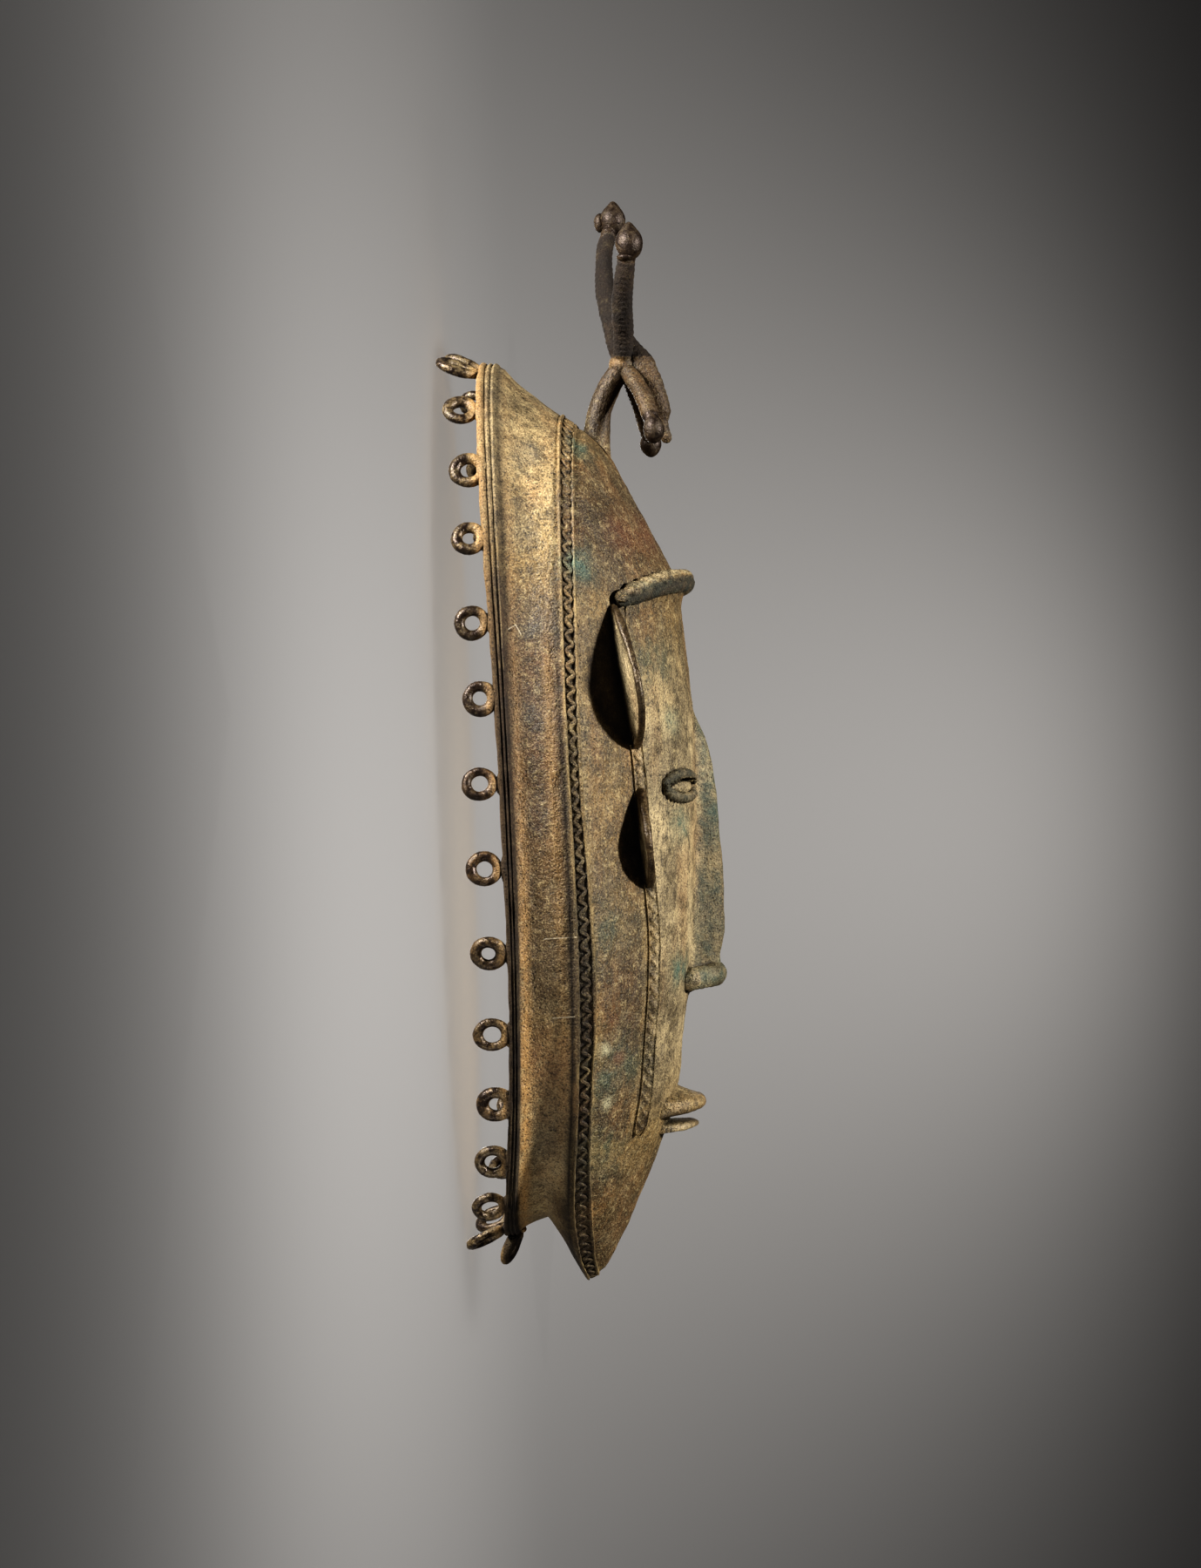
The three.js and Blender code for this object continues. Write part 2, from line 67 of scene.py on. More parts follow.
# %% [markdown]
# ## Camera
#
# The photograph shows the mask from its left side with the crest up. The lens is a long one, 100 mm on a
# frame 36 mm high, and it stands 1.39 m away, a little in front of the side and a little above the middle.
# The camera is rolled a quarter turn, so that the crest is at the top of the picture.

# %% Set up the camera
CAMERA_PLACE = Vector((-1387.7, -17.6, 107.0)) * MM
PICTURE_RIGHT = Vector((0.0436, -0.0331, 0.9985))
PICTURE_UP = Vector((0.0, 0.99945, 0.0332))

camera_data = bpy.data.cameras.new("camera")
camera_data.lens = 100
camera_data.sensor_fit = "VERTICAL"
camera_data.sensor_height = 36
camera_data.clip_end = 20
camera = bpy.data.objects.new("camera", camera_data)
bpy.context.scene.collection.objects.link(camera)
axes = Matrix((PICTURE_RIGHT, PICTURE_UP, PICTURE_RIGHT.cross(PICTURE_UP)))
camera.matrix_world = axes.transposed().to_4x4()
camera.location = CAMERA_PLACE
bpy.context.scene.camera = camera
print("The camera stands", round(CAMERA_PLACE.length, 2), "m from the mask")

# %% [markdown]
# ## The measured lines
#
# The founder's outline is kept as a few tables of measured points, the same that the solid model uses.
# A smooth curve runs through each table, so that a value can be read at any place along the mask.
# All of these are millimetres, and a mesh is only turned to metres when it is made.

# %% Curves through measured points
def through(pairs, y):
    """The value of a smooth curve through pairs of Y and value, at one Y or many."""
    table = np.array(sorted(pairs), float)
    ys, values = table[:, 0], table[:, 1]
    slopes = np.diff(values) / np.diff(ys)
    turns = np.concatenate([slopes[:1], (slopes[:-1] + slopes[1:]) / 2, slopes[-1:]])
    y = np.clip(y, ys[0], ys[-1])
    i = np.clip(np.searchsorted(ys, y, side="right") - 1, 0, len(ys) - 2)
    step = ys[i + 1] - ys[i]
    u = (y - ys[i]) / step
    bend = step * u * (1 - u) * (turns[i] * (1 - u) - turns[i + 1] * u)
    return values[i] + (values[i + 1] - values[i]) * u * u * (3 - 2 * u) + bend


MIDDLE_Y = -19.2
RIM = {"half_width": 76, "half_height": 138.8, "centre_y": MIDDLE_Y}
WAIST = {"half_width": 72.3, "half_height": 131.1, "centre_y": -21.4}
ROUNDNESS = 2.3
PLATE_HALF_WIDTH, PLATE_TOP, PLATE_TIP = 73, 101.8, -172.6
PLATE_TOP_ROUNDNESS, PLATE_TIP_ROUNDNESS, PLATE_TIP_POINT = 2.4, 2.6, 1.44
WALL = 3.2
RIM_BACK = [(120, 12.9), (65, 15.6), (12, 18.3), (-41, 19.5), (-67, 19.7), (-94, 19), (-121, 17.2),
            (-144, 14.2), (-158, 11.6)]
RIM_FRONT = [(118, 20), (65, 22), (12, 23.3), (-41, 24), (-94, 22.7), (-121, 21), (-158, 17)]
WAIST_HEIGHT = [(113, 28), (-20, 31), (-100, 29.5), (-153, 25.8)]
BAND_BACK = [(102, 38), (37, 38.6), (0, 39), (-34, 39.8), (-68, 39.9), (-98, 39), (-122, 37.1),
             (-138, 35.3), (-151, 34.3), (-163, 34.8), (-172, 36.8)]
BAND_FRONT = [(97, 43.3), (60, 43.8), (0, 44), (-20, 44.3), (-47, 45.7), (-68, 46.3), (-90, 45.7),
              (-106, 44), (-122, 42.4), (-138, 41.4), (-151, 41), (-171, 40.8)]
MIDDLE_PROFILE = [(98, 43.4), (96.5, 45.2), (91, 51.2), (80, 57.4), (67, 64.1), (57, 68.8), (50, 71.9),
                  (42, 73.6), (28, 74.9), (14, 76.2), (0, 77), (-20, 77), (-47, 76), (-65, 74.8), (-80, 73),
                  (-91, 71), (-110, 68.4), (-122, 65.2), (-132, 61.3), (-144, 56.1), (-156, 50.2),
                  (-167, 44.4), (-171, 41.4)]
INNER_FACE_EDGE = [(44, 55), (20, 55.5), (-11, 52.8), (-30, 51.6), (-49, 49), (-66, 46.2), (-77, 45),
                   (-98, 40.6), (-113, 36.6), (-125, 33)]
NOSE_RIDGE = [(12, 76.4), (8, 76.6), (3.5, 78), (-3, 81), (-11, 82.3), (-22, 83.3), (-36, 84.1),
              (-52, 84.6), (-65, 84.3), (-71, 82.8), (-77, 82.6), (-79.5, 81)]
print("The profile rises to", through(MIDDLE_PROFILE, -10.0).round(1), "mm between the eyes")

# %% Outlines of the rim, the wall and the face
def power(value, exponent):
    return np.sign(value) * np.abs(value) ** exponent


def ramp(value, start, width):
    """Rises from 0 at the start to 1 one width further on."""
    return np.clip((value - start) / width, 0, 1)


def bell(value, centre, width):
    """1 at the centre, and softly less to both sides of it."""
    return np.exp(-((value - centre) / width) ** 2)


def unit(vectors):
    return vectors / np.linalg.norm(vectors, axis=-1, keepdims=True)


def oval(t, inset, half_width, half_height, centre_y):
    """Points of a rounded oval outline, at the angles t."""
    return ((half_width - inset) * power(np.cos(t), 2 / ROUNDNESS),
            centre_y + (half_height - inset) * power(np.sin(t), 2 / ROUNDNESS))


def plate_outline(t, side, top, tip):
    """The outline of the face: round above, and a blunt point at the chin."""
    rise = np.sin(t)
    upper_x = power(np.cos(t), 2 / PLATE_TOP_ROUNDNESS)
    lower_x = power(np.cos(t), PLATE_TIP_POINT)
    upper_y = (PLATE_TOP - top - MIDDLE_Y) * power(rise, 2 / PLATE_TOP_ROUNDNESS)
    lower_y = (MIDDLE_Y - PLATE_TIP - tip) * power(rise, 2 / PLATE_TIP_ROUNDNESS)
    above = rise >= 0
    return ((PLATE_HALF_WIDTH - side) * np.where(above, upper_x, lower_x),
            MIDDLE_Y + np.where(above, upper_y, lower_y))


def plate_half_width(y):
    up = np.clip((y - MIDDLE_Y) / (PLATE_TOP - MIDDLE_Y), 0, 0.999)
    down = np.clip((MIDDLE_Y - y) / (MIDDLE_Y - PLATE_TIP), 0, 0.999)
    above = (1 - up ** PLATE_TOP_ROUNDNESS) ** (1 / PLATE_TOP_ROUNDNESS)
    below = (1 - down ** PLATE_TIP_ROUNDNESS) ** (PLATE_TIP_POINT / 2)
    return PLATE_HALF_WIDTH * np.where(y >= MIDDLE_Y, above, below)


def face_height(x, y):
    """Height of the plain face: a dome from the band up to the middle profile."""
    edge = through(BAND_FRONT, y)
    across = np.clip(np.abs(x) / plate_half_width(y), 0, 1)
    return edge + (through(MIDDLE_PROFILE, y) - edge) * (1 - across ** 2)


def face_normal(x, y):
    """Which way the plain face looks, for one point or many."""
    step = 0.5
    slope_x = (face_height(x + step, y) - face_height(x - step, y)) / (2 * step)
    slope_y = (face_height(x, y + step) - face_height(x, y - step)) / (2 * step)
    return unit(np.stack([-slope_x, -slope_y, np.ones_like(slope_x)], axis=-1))


def on_face(x, y, lift):
    """Points on the plain face, lifted off it, and which way it looks there."""
    normal = face_normal(x, y)
    return np.stack([x, y, face_height(x, y)], axis=1) + normal * lift, normal


print("The face is", 2 * float(plate_half_width(40.0).round(1)), "mm wide at the brow")

# %% [markdown]
# ## A way to roll wax
#
# Nearly every part of such a mask is a sheet or a roll of wax. Both can be made in Blender from a grid:
# its rows are put on rings of points, the seam where it meets itself is merged, and a last row drawn in to
# one point closes an end. A grid has even squares, which take relief well.

# %% Wrap a grid round rings of points
def new_object(name):
    made = bpy.context.object
    made.name = made.data.name = name
    return made


def apply_step(target, step):
    bpy.context.view_layer.objects.active = target
    bpy.ops.object.modifier_apply(modifier=step.name)


def edit_from(target, chosen):
    """Enters edit mode with only the points of the chosen numbers selected."""
    bpy.context.view_layer.objects.active = target
    bpy.ops.object.mode_set(mode="EDIT")
    bpy.ops.mesh.select_mode(type="VERT")
    bpy.ops.mesh.select_all(action="DESELECT")
    bpy.ops.object.mode_set(mode="OBJECT")
    for index in chosen:
        target.data.vertices[index].select = True
    bpy.ops.object.mode_set(mode="EDIT")


def sew(made):
    """Merges points that lie on each other, and turns all faces outwards."""
    bpy.ops.object.mode_set(mode="EDIT")
    bpy.ops.mesh.select_all(action="SELECT")
    bpy.ops.mesh.remove_doubles(threshold=1e-6)
    bpy.ops.mesh.normals_make_consistent(inside=False)
    bpy.ops.object.mode_set(mode="OBJECT")
    return made


def wax(name, rings):
    """Wraps a grid round rings of points in mm (rows, points on a ring, xyz) and sews its seam."""
    rings = np.asarray(rings, float)
    rows, around = rings.shape[:2]
    bpy.ops.mesh.primitive_grid_add(x_subdivisions=around, y_subdivisions=rows - 1)
    made = new_object(name)
    points = np.concatenate([rings, rings[:, :1]], axis=1).reshape(-1, 3) * MM
    made.data.vertices.foreach_set("co", points.ravel())
    return sew(made)


def swept(name, rings):
    """Wax of open rings, with each end drawn in to its middle."""
    ends = [[np.mean(ring, axis=0)] * len(ring) for ring in (rings[0], rings[-1])]
    return wax(name, [ends[0]] + rings + [ends[1]])


def reach_along(path):
    """How many mm of the path lie behind each of its points."""
    return np.concatenate([[0], np.cumsum(np.linalg.norm(np.diff(path, axis=0), axis=1))])


def smooth_path(places, count):
    """Evenly spaced points on a smooth curve through a few places."""
    places = np.asarray(places, float)
    reach = reach_along(places)
    along = np.linspace(0, reach[-1], count)
    return np.stack([through(list(zip(reach, places[:, k])), along) for k in range(3)], axis=1)


CAP_TURNS = np.radians((40, 70, 90))


def rolled(name, path, wide, thick, up, sides, relief=None):
    """A roll of wax on a path, flattened towards up, with round ends. relief(mm along, angle) thickens it."""
    count = len(path)
    along = unit(np.gradient(path, axis=0))
    across = unit(np.cross(along, up))
    out = np.cross(across, along)
    angle = np.arange(sides) * 2 * math.pi / sides
    bump = np.zeros((count, sides)) if relief is None else relief(reach_along(path)[:, None], angle[None, :])
    wide = np.broadcast_to(wide, count)[:, None] + bump
    thick = np.broadcast_to(thick, count)[:, None] + bump
    sideways = across[:, None] * (wide * np.cos(angle))[..., None]
    outwards = out[:, None] * (thick * np.sin(angle))[..., None]
    rings = list(path[:, None] + (sideways + outwards))
    for row, way in ((0, -1), (-1, 1)):
        end, centre, ahead = rings[row], path[row], along[row] * way
        depth = 0.5 * (wide[row].mean() + thick[row].mean())
        for turn in CAP_TURNS:
            cap = centre + (end - centre) * math.cos(turn) + ahead * depth * math.sin(turn)
            rings = [cap] + rings if row == 0 else rings + [cap]
    return wax(name, rings)


print("Rolls and sheets of wax can be made now")

# %% [markdown]
# ## The shell
#
# One grid makes the whole shell, inside and outside. Its columns run round the outline, and its rows run from
# the middle of the inside, over the back edge of the rim and its three thin ridges, up the hollow wall,
# over the two ridges of the band, and to the middle line of the face, where the two halves are sewn.

# %% The rows of the shell
AROUND = 372
ANGLES = (np.arange(AROUND) + 0.5) * 2 * math.pi / AROUND
SEAM_TOP, SEAM_FOOT = 62, -106
# How far each row lies inside the outline or stands proud of it, and its share of the way up.
RIM_PROFILE = [(0.8, 0), (0.2, 0.05), (0, 0.12), (0, 0.2), (0.3, 0.27), (0.8, 0.32), (0.8, 0.37),
               (0.35, 0.42), (0.15, 0.47), (0.35, 0.52), (0.85, 0.57), (0.85, 0.62), (0.4, 0.67),
               (0.25, 0.72), (0.6, 0.78), (1.4, 0.84), (1.9, 0.94), (2.4, 1.06)]
BAND_PROFILE = [(0, 0), (0.8, 0.03), (1.25, 0.08), (1.25, 0.12), (0.8, 0.17), (0.2, 0.22), (0.3, 0.34),
                (0.35, 0.5), (0.3, 0.66), (0.2, 0.77), (0.7, 0.81), (1.1, 0.86), (1.1, 0.91), (0.6, 0.96),
                (0, 1)]


def rim_row(inset, share):
    x, y = oval(ANGLES, inset, **RIM)
    back = through(RIM_BACK, y)
    return np.stack([x, y, back + (through(RIM_FRONT, y) - back) * share], axis=1)


def waist_row(inset=0.0):
    x, y = oval(ANGLES, inset, **WAIST)
    return np.stack([x, y, through(WAIST_HEIGHT, y)], axis=1)


def band_point(angle, share, proud):
    """Points of the band, which leans in and narrows a little towards the face."""
    x, y = plate_outline(angle, 0.9 * share - proud, 4 * share - 0.7 * proud, 1.8 * share - 0.8 * proud)
    back = through(BAND_BACK, y)
    return np.stack([x, y, back + (through(BAND_FRONT, y) - back) * share + 0.3 * proud], axis=-1)


NOSE_SECTION = [(0, 1), (0.14, 0.98), (0.3, 0.84), (0.48, 0.48), (0.66, 0.18), (0.84, 0.04), (1, 0)]


def nose_height(x, y):
    """How far the nose stands above the face: a narrow ridge with steep flanks, widening downwards."""
    ridge = through(NOSE_RIDGE, y) - through(MIDDLE_PROFILE, y)
    ridge = ridge * ramp(-y, -12, 6) * ramp(y, -82.5, 3)
    half = np.interp(y, [-80, -20, 10], [10.5, 7.5, 4.5])
    return np.maximum(ridge, 0) * through(NOSE_SECTION, np.clip(np.abs(x) / half, 0, 1))


def face_row(share, side=0.9, top=4.0, tip=1.8, sink=0.0):
    edge_x, edge_y = plate_outline(ANGLES, side, top, tip)
    middle = (SEAM_TOP + SEAM_FOOT) / 2 + (SEAM_TOP - SEAM_FOOT) / 2 * power(np.sin(ANGLES), 0.9)
    x, y = edge_x * (1 - share), edge_y + (middle - edge_y) * share
    nose = nose_height(x, y) if sink == 0 else 0
    return np.stack([x, y, face_height(x, y) + nose - sink], axis=1)


def between(first, last, rows, hollow=0.0):
    """Rows between two rows, drawn in by a hollow at half way."""
    shares = np.linspace(0, 1, rows + 2)[1:-1]
    inward = np.array([0, MIDDLE_Y, 0]) - (first + last) / 2
    inward[:, 2] = 0
    inward = unit(inward)
    return [first + (last - first) * s + inward * hollow * 4 * s * (1 - s) for s in shares]


def shell_rows():
    inner_shares = [1, 0.9, 0.8, 0.7, 0.6, 0.5, 0.4, 0.3, 0.22, 0.14, 0.07, 0]
    inside = [face_row(s, side=3.8, top=6.5, tip=7.5, sink=WALL) for s in inner_shares]
    inner_waist = waist_row(WALL)
    inner_rim = rim_row(6.3, 1)
    rows = inside + between(inside[-1], inner_waist, 2) + [inner_waist]
    rows += between(inner_waist, inner_rim, 2, -0.4) + [inner_rim, rim_row(6.5, 0.4), rim_row(6.2, 0.05)]
    rows += [rim_row(5, -0.04), rim_row(3, -0.05), rim_row(1.6, -0.04)]
    rows += [rim_row(inset, share) for inset, share in RIM_PROFILE]
    band = [band_point(ANGLES, share, proud) for proud, share in BAND_PROFILE]
    front, waist = rows[-1], waist_row()
    rows += between(front, waist, 5, 0.5) + [waist] + between(waist, band[0], 8, 0.15) + band
    shares = 1 - (1 - np.linspace(0, 1, 56)[1:]) ** 1.15
    return rows + [face_row(share) for share in shares]


rows = shell_rows()
mask = wax("mask_casting", rows)
print("The shell has", len(rows), "rows and", len(mask.data.vertices), "points")

# %% [markdown]
# ## The threads of the band and the jaw
#
# A thin wax thread was laid in waves between the two ridges of the band, all the way round the face. Its wave
# is about 4.7 mm long. A second, narrower cord with the same wave runs down each side of the face.

# %% The serpentine thread in the band
WAVE = 4.7
POINTS_A_WAVE = 8


def lay_band_thread():
    fine = np.linspace(0, 2 * math.pi, 20001)
    reach = reach_along(band_point(fine, 0.5, 0.3))
    waves = round(reach[-1] / WAVE)
    steps = np.arange(waves * POINTS_A_WAVE)
    place = np.interp(steps / len(steps) * reach[-1], reach, fine)
    swing = np.sin(steps / POINTS_A_WAVE * 2 * math.pi)
    worn = 0.12 * np.sin(place * 7.3) + 0.1 * np.sin(place * 17.1 + 2)
    path = band_point(place, 0.495 + 0.2 * swing, 0.42 + worn)
    outward = unit(band_point(place, 0.5, 2.0) - band_point(place, 0.5, 0.0))
    across = np.cross(unit(np.roll(path, -1, axis=0) - np.roll(path, 1, axis=0)), outward)
    angle = np.arange(6) * math.pi / 3
    rings = path[:, None] + across[:, None] * (0.7 * np.cos(angle))[:, None] \
        + outward[:, None] * (0.55 * np.sin(angle))[:, None]
    return wax("band_thread", np.concatenate([rings, rings[:1]]))


band_thread = lay_band_thread()
print("The thread of the band has", len(band_thread.data.polygons), "faces")

# %% The cord down the side of the face
CORD_WAVE = 4.2
CORD_TOP, CORD_FOOT = -4, -125
ACROSS_CORD = np.linspace(-1, 1, 11)


def jaw_cord(side):
    """A ribbon set on its lower edge, with two thin edges and a wave between them on its outer face."""
    y = np.linspace(CORD_TOP, CORD_FOOT, 210)
    middle, normal = on_face(side * through(INNER_FACE_EDGE, y), y, 0.8)
    outward = unit(normal + np.array([1.3 * side, 0, 0]))
    across = unit(np.cross(outward, [0, side, 0]))
    place = np.concatenate([ACROSS_CORD, [0.95, 0, -0.95]])
    half_width = 2.4 * np.sqrt(ramp(y, CORD_FOOT - 0.5, 4))
    swing = 0.36 * np.sin(np.abs(y) / CORD_WAVE * 2 * math.pi)
    edges = bell(np.abs(ACROSS_CORD), 0.84, 0.12)
    rings = []
    for k in range(len(y)):
        thread = bell(ACROSS_CORD, swing[k], 0.2)
        face = 0.7 * (1 - ACROSS_CORD ** 8) + 0.6 * np.maximum(thread, edges)
        height = np.concatenate([face, [-1.6] * 3])
        rings.append(middle[k] + across[k] * (place * half_width[k])[:, None] + outward[k] * height[:, None])
    return swept(f"jaw_cord_{'left' if side < 0 else 'right'}", rings)


jaw_cords = [jaw_cord(side) for side in (-1, 1)]
print("Each cord of the jaw has", len(jaw_cords[0].data.polygons), "faces")

# %% [markdown]
# ## Brow, lids, nostrils and lips
#
# The brow is a thick roll with a plaited surface, and a wedge under it leads over to the face. Each eye lies
# in a twisted cord bent round like a C. The nostrils are one short bar bent across the foot of the nose, and
# the lips are two tongues.

# %% The plaited brow
BROW_HALF_WIDTH = 53
STRAND = 6.6


def brow_line(x, crown=47.4):
    """Y of the brow, which bows down towards the ears."""
    return crown - 7 * np.abs(x / BROW_HALF_WIDTH) ** 2.6


def plait_relief(reach, angle):
    """A plait of slanting strands that meet along the crown of the roll."""
    from_crown = np.abs(np.angle(np.exp(1j * (angle - math.pi / 2))))
    strand = np.abs(np.cos((reach / STRAND + from_crown * 0.5) * math.pi))
    return 1.7 * strand ** 0.55 - 1.25 - 0.4 * bell(from_crown, 0.05, 0.16)


def roll_brow():
    x = np.linspace(-BROW_HALF_WIDTH, BROW_HALF_WIDTH, 190)
    path, normal = on_face(x, brow_line(x), 2.3)
    size = 3.4 * np.interp(np.abs(x), [30, 47, BROW_HALF_WIDTH], [1, 0.92, 0.66])
    return rolled("brow", path, size, size, normal, 24, plait_relief)


def fill_under_brow():
    """A wedge with a hollow front, which eases the brow into the face below it."""
    x = np.linspace(-50, 50, 90)
    top = brow_line(x, 46)
    height = 2.9 * np.interp(np.abs(x), [38, 50], [1, 0.5])
    shares = [(s, (1 - s) ** 2) for s in np.linspace(0, 1, 8)] + [(1, -0.5), (0.5, -0.5), (0, -0.5)]
    rings = []
    for k in range(len(x)):
        section = [(top[k] - 7.5 * down, height[k] * up) for down, up in shares]
        rings.append([(x[k], y, face_height(x[k], y) + up) for y, up in section])
    return swept("fill_under_brow", rings)


brow, brow_fill = roll_brow(), fill_under_brow()
print("The brow has", len(brow.data.polygons), "faces")

# %% The twisted lids, the eyeballs and the nostrils
EYE_X, EYE_Y = 26, -17
LID_HALF_WIDTH, LID_HALF_HEIGHT = 13, 3.8
NOSTRILS_Y, NOSTRILS_HALF_WIDTH, NOSTRILS_HEIGHT = -77, 13.5, 81.2


def twist_relief(reach, angle):
    return 0.34 * np.cos(2 * angle + reach / 2.6 * 2 * math.pi)


def uneven_relief(reach, angle):
    return 0.12 * np.sin(reach * 1.9 + 2 * angle) * np.sin(reach * 0.7 - angle)


def lid(side):
    turn = np.linspace(0.5, 2 * math.pi - 0.5, 90)
    x = side * (EYE_X - LID_HALF_WIDTH * np.cos(turn))
    path, normal = on_face(x, EYE_Y + LID_HALF_HEIGHT * np.sin(turn), 0.7)
    size = 1.5 * np.sin(np.linspace(0.55, math.pi - 0.55, 90)) ** 0.4
    return rolled("lid", path, size, size, normal, 16, twist_relief)


def sphere(name, segments, rings, radius=1.0):
    bpy.ops.mesh.primitive_uv_sphere_add(segments=segments, ring_count=rings, radius=radius)
    return new_object(name)


def eyeball(side):
    ball = sphere("eyeball", 28, 16, MM)
    x, y = side * (EYE_X + 0.5), EYE_Y - 0.4
    facing = Vector(face_normal(x, y)).to_track_quat("Z", "Y").to_matrix()
    place = Matrix.Translation(Vector((x, y, float(face_height(x, y)) - 0.1)) * MM)
    ball.data.transform(place @ facing.to_4x4() @ Matrix.Diagonal((2.0, 8.8, 1.7, 1)))
    return ball


def roll_nostrils():
    x = np.linspace(-NOSTRILS_HALF_WIDTH, NOSTRILS_HALF_WIDTH, 70)
    fall = np.abs(x / NOSTRILS_HALF_WIDTH) ** 2.2
    face = face_height(x, np.full_like(x, NOSTRILS_Y))
    height = NOSTRILS_HEIGHT + (face + 1 - NOSTRILS_HEIGHT) * fall
    path = np.stack([x, NOSTRILS_Y - 1.2 * fall, height], axis=1)
    return rolled("nostrils", path, 3.5, 3.7, (0, 1, 0), 20, uneven_relief)


lids = [lid(side) for side in (-1, 1)]
eyeballs = [eyeball(side) for side in (-1, 1)]
nostrils = roll_nostrils()
print("Each lid has", len(lids[0].data.polygons), "faces")

# %% The lips
def lip(name, half_span, root_y, tip_y, tip_z, thickness, blend):
    """A tongue with a round front, swept across the mouth. Above, it runs into the face in a hollow curve."""
    share = np.linspace(-1, 1, 61)
    x = share * half_span
    forward = np.sqrt(np.clip(1 - share ** 2 * 0.985, 0, 1))
    root = face_height(x, np.full_like(x, root_y)) - 2.2
    front = root + 1.5 + (tip_z - root - 1.5) * forward
    y = root_y + (tip_y - root_y) * forward
    half = thickness / 2
    turn = np.linspace(-math.pi / 2, math.pi / 2, 11)
    rings = []
    for k in range(len(x)):
        floor_z = root[k]
        tip = [(y[k] + half * 0.85 * math.sin(a), front[k] - 2.4 + 2.4 * math.cos(a)) for a in turn]
        top_y, top_z = tip[-1]
        far_y = root_y + half + blend * forward[k]
        hollow = [(top_y + (far_y - top_y) * s, floor_z + (top_z - floor_z) * (1 - s) ** 2)
                  for s in (0.3, 0.6, 1)]
        section = [(root_y - half, floor_z)] + tip + hollow + [(root_y, floor_z - 0.8)]
        rings.append([(x[k], *point) for point in section])
    return swept(name, rings)


upper_lip = lip("upper_lip", half_span=20, root_y=-119, tip_y=-117.3, tip_z=76.9, thickness=5.6, blend=8)
lower_lip = lip("lower_lip", half_span=13.5, root_y=-125.6, tip_y=-124.4, tip_z=74.2, thickness=3, blend=0.5)
print("The lips reach", round(max(v.co.z for v in upper_lip.data.vertices) / MM, 1), "mm above the floor")

# %% [markdown]
# ## Ears
#
# On each side stand two half discs, one under the other. Each is a thin sheet that leans forward, with a
# rolled edge. The sheet and its edge are one section, swept from the top of the ear to its foot.

# %% The ears
# Top, foot and reach in mm, and how far it leans forward for each mm that it reaches out.
EAR_SHAPES = [(39.5, -5.4, 17.6, 0.25), (-16.9, -48.2, 13.2, 0.13)]
EAR_SHEET_HALF_THICKNESS = 0.7
EDGE_TURNS = np.radians(np.arange(-140, 141, 28))


def ear_reach(y, top, bottom, reach):
    """How far an ear stands out at Y, fuller in its lower half."""
    down = np.clip((top - y) / (top - bottom), 0, 1)
    return reach * np.sin(math.pi * down ** 1.3) ** 0.7


def ear(side, top, bottom, reach, lean):
    turn = np.linspace(0.02, math.pi - 0.02, 64)
    y = (top + bottom) / 2 + (top - bottom) / 2 * np.cos(turn)
    x = through(INNER_FACE_EDGE, y)
    out = ear_reach(y, top, bottom, reach)
    root_z = face_height(x, y)
    bead = 1.1 * np.clip(np.sin(turn) * 4, 0.5, 1)
    rings = []
    for k in range(len(y)):
        root = np.array([x[k] - 1.5, root_z[k] - 1.0])
        free = np.array([x[k] + out[k], root_z[k] + 0.8 + out[k] * lean])
        ahead = unit(free - root)
        rise = np.array([-ahead[1], ahead[0]])
        side_step = rise * EAR_SHEET_HALF_THICKNESS
        edge = [free + bead[k] * (math.cos(a) * ahead + math.sin(a) * rise) for a in EDGE_TURNS]
        inner = [root + (free - root) * s for s in (0, 0.35, 0.7)]
        section = [p - side_step for p in inner] + edge + [p + side_step for p in inner[::-1]]
        rings.append([(side * p[0], y[k], p[1]) for p in section])
    return swept("ear", rings)


ears = [ear(side, *shape) for side in (-1, 1) for shape in EAR_SHAPES]
print("There are", len(ears), "ears")

# %% [markdown]
# ## The loops of the rim
#
# The mask was tied or sewn to its backing by the loops along its rim. A loop is a torus, drawn out a little
# and set on the rim at its own angle; no two are quite the same. A lump of wax at the root holds each one.

# %% The loops
RIM_LOOPS = [  # side, angle of the first, degrees from each to the next, and how much deeper each is set
    (-1, 77, [15.6, 14, 11.9, 12.5, 10.1, 10.9, 10.8, 11.1, 11.5, 11.4, 11.7, 12.4, 14.8],
     [0, 0, 2.4, 1.1, 0, 0.8, -0.6, -0.7, -0.3, 0.3, 1.3, 0.8, 0.3, 0]),
    (1, 84, [15, 16.4, 13.2, 13.9, 11.4, 12.1, 12, 12.4, 12.8, 12.7, 13.6, 16.2], [0] * 13)]
LEANS_FROM, REACHES_FLOOR_FROM = 57, 75
LOOP_HALF_WIDTH, LOOP_ROOT_INSET, LOOP_ROOT_SINK = 5.5, 1.7, 0.5
TO_METRES = Matrix.Scale(MM, 4)
chance = np.random.default_rng(7)


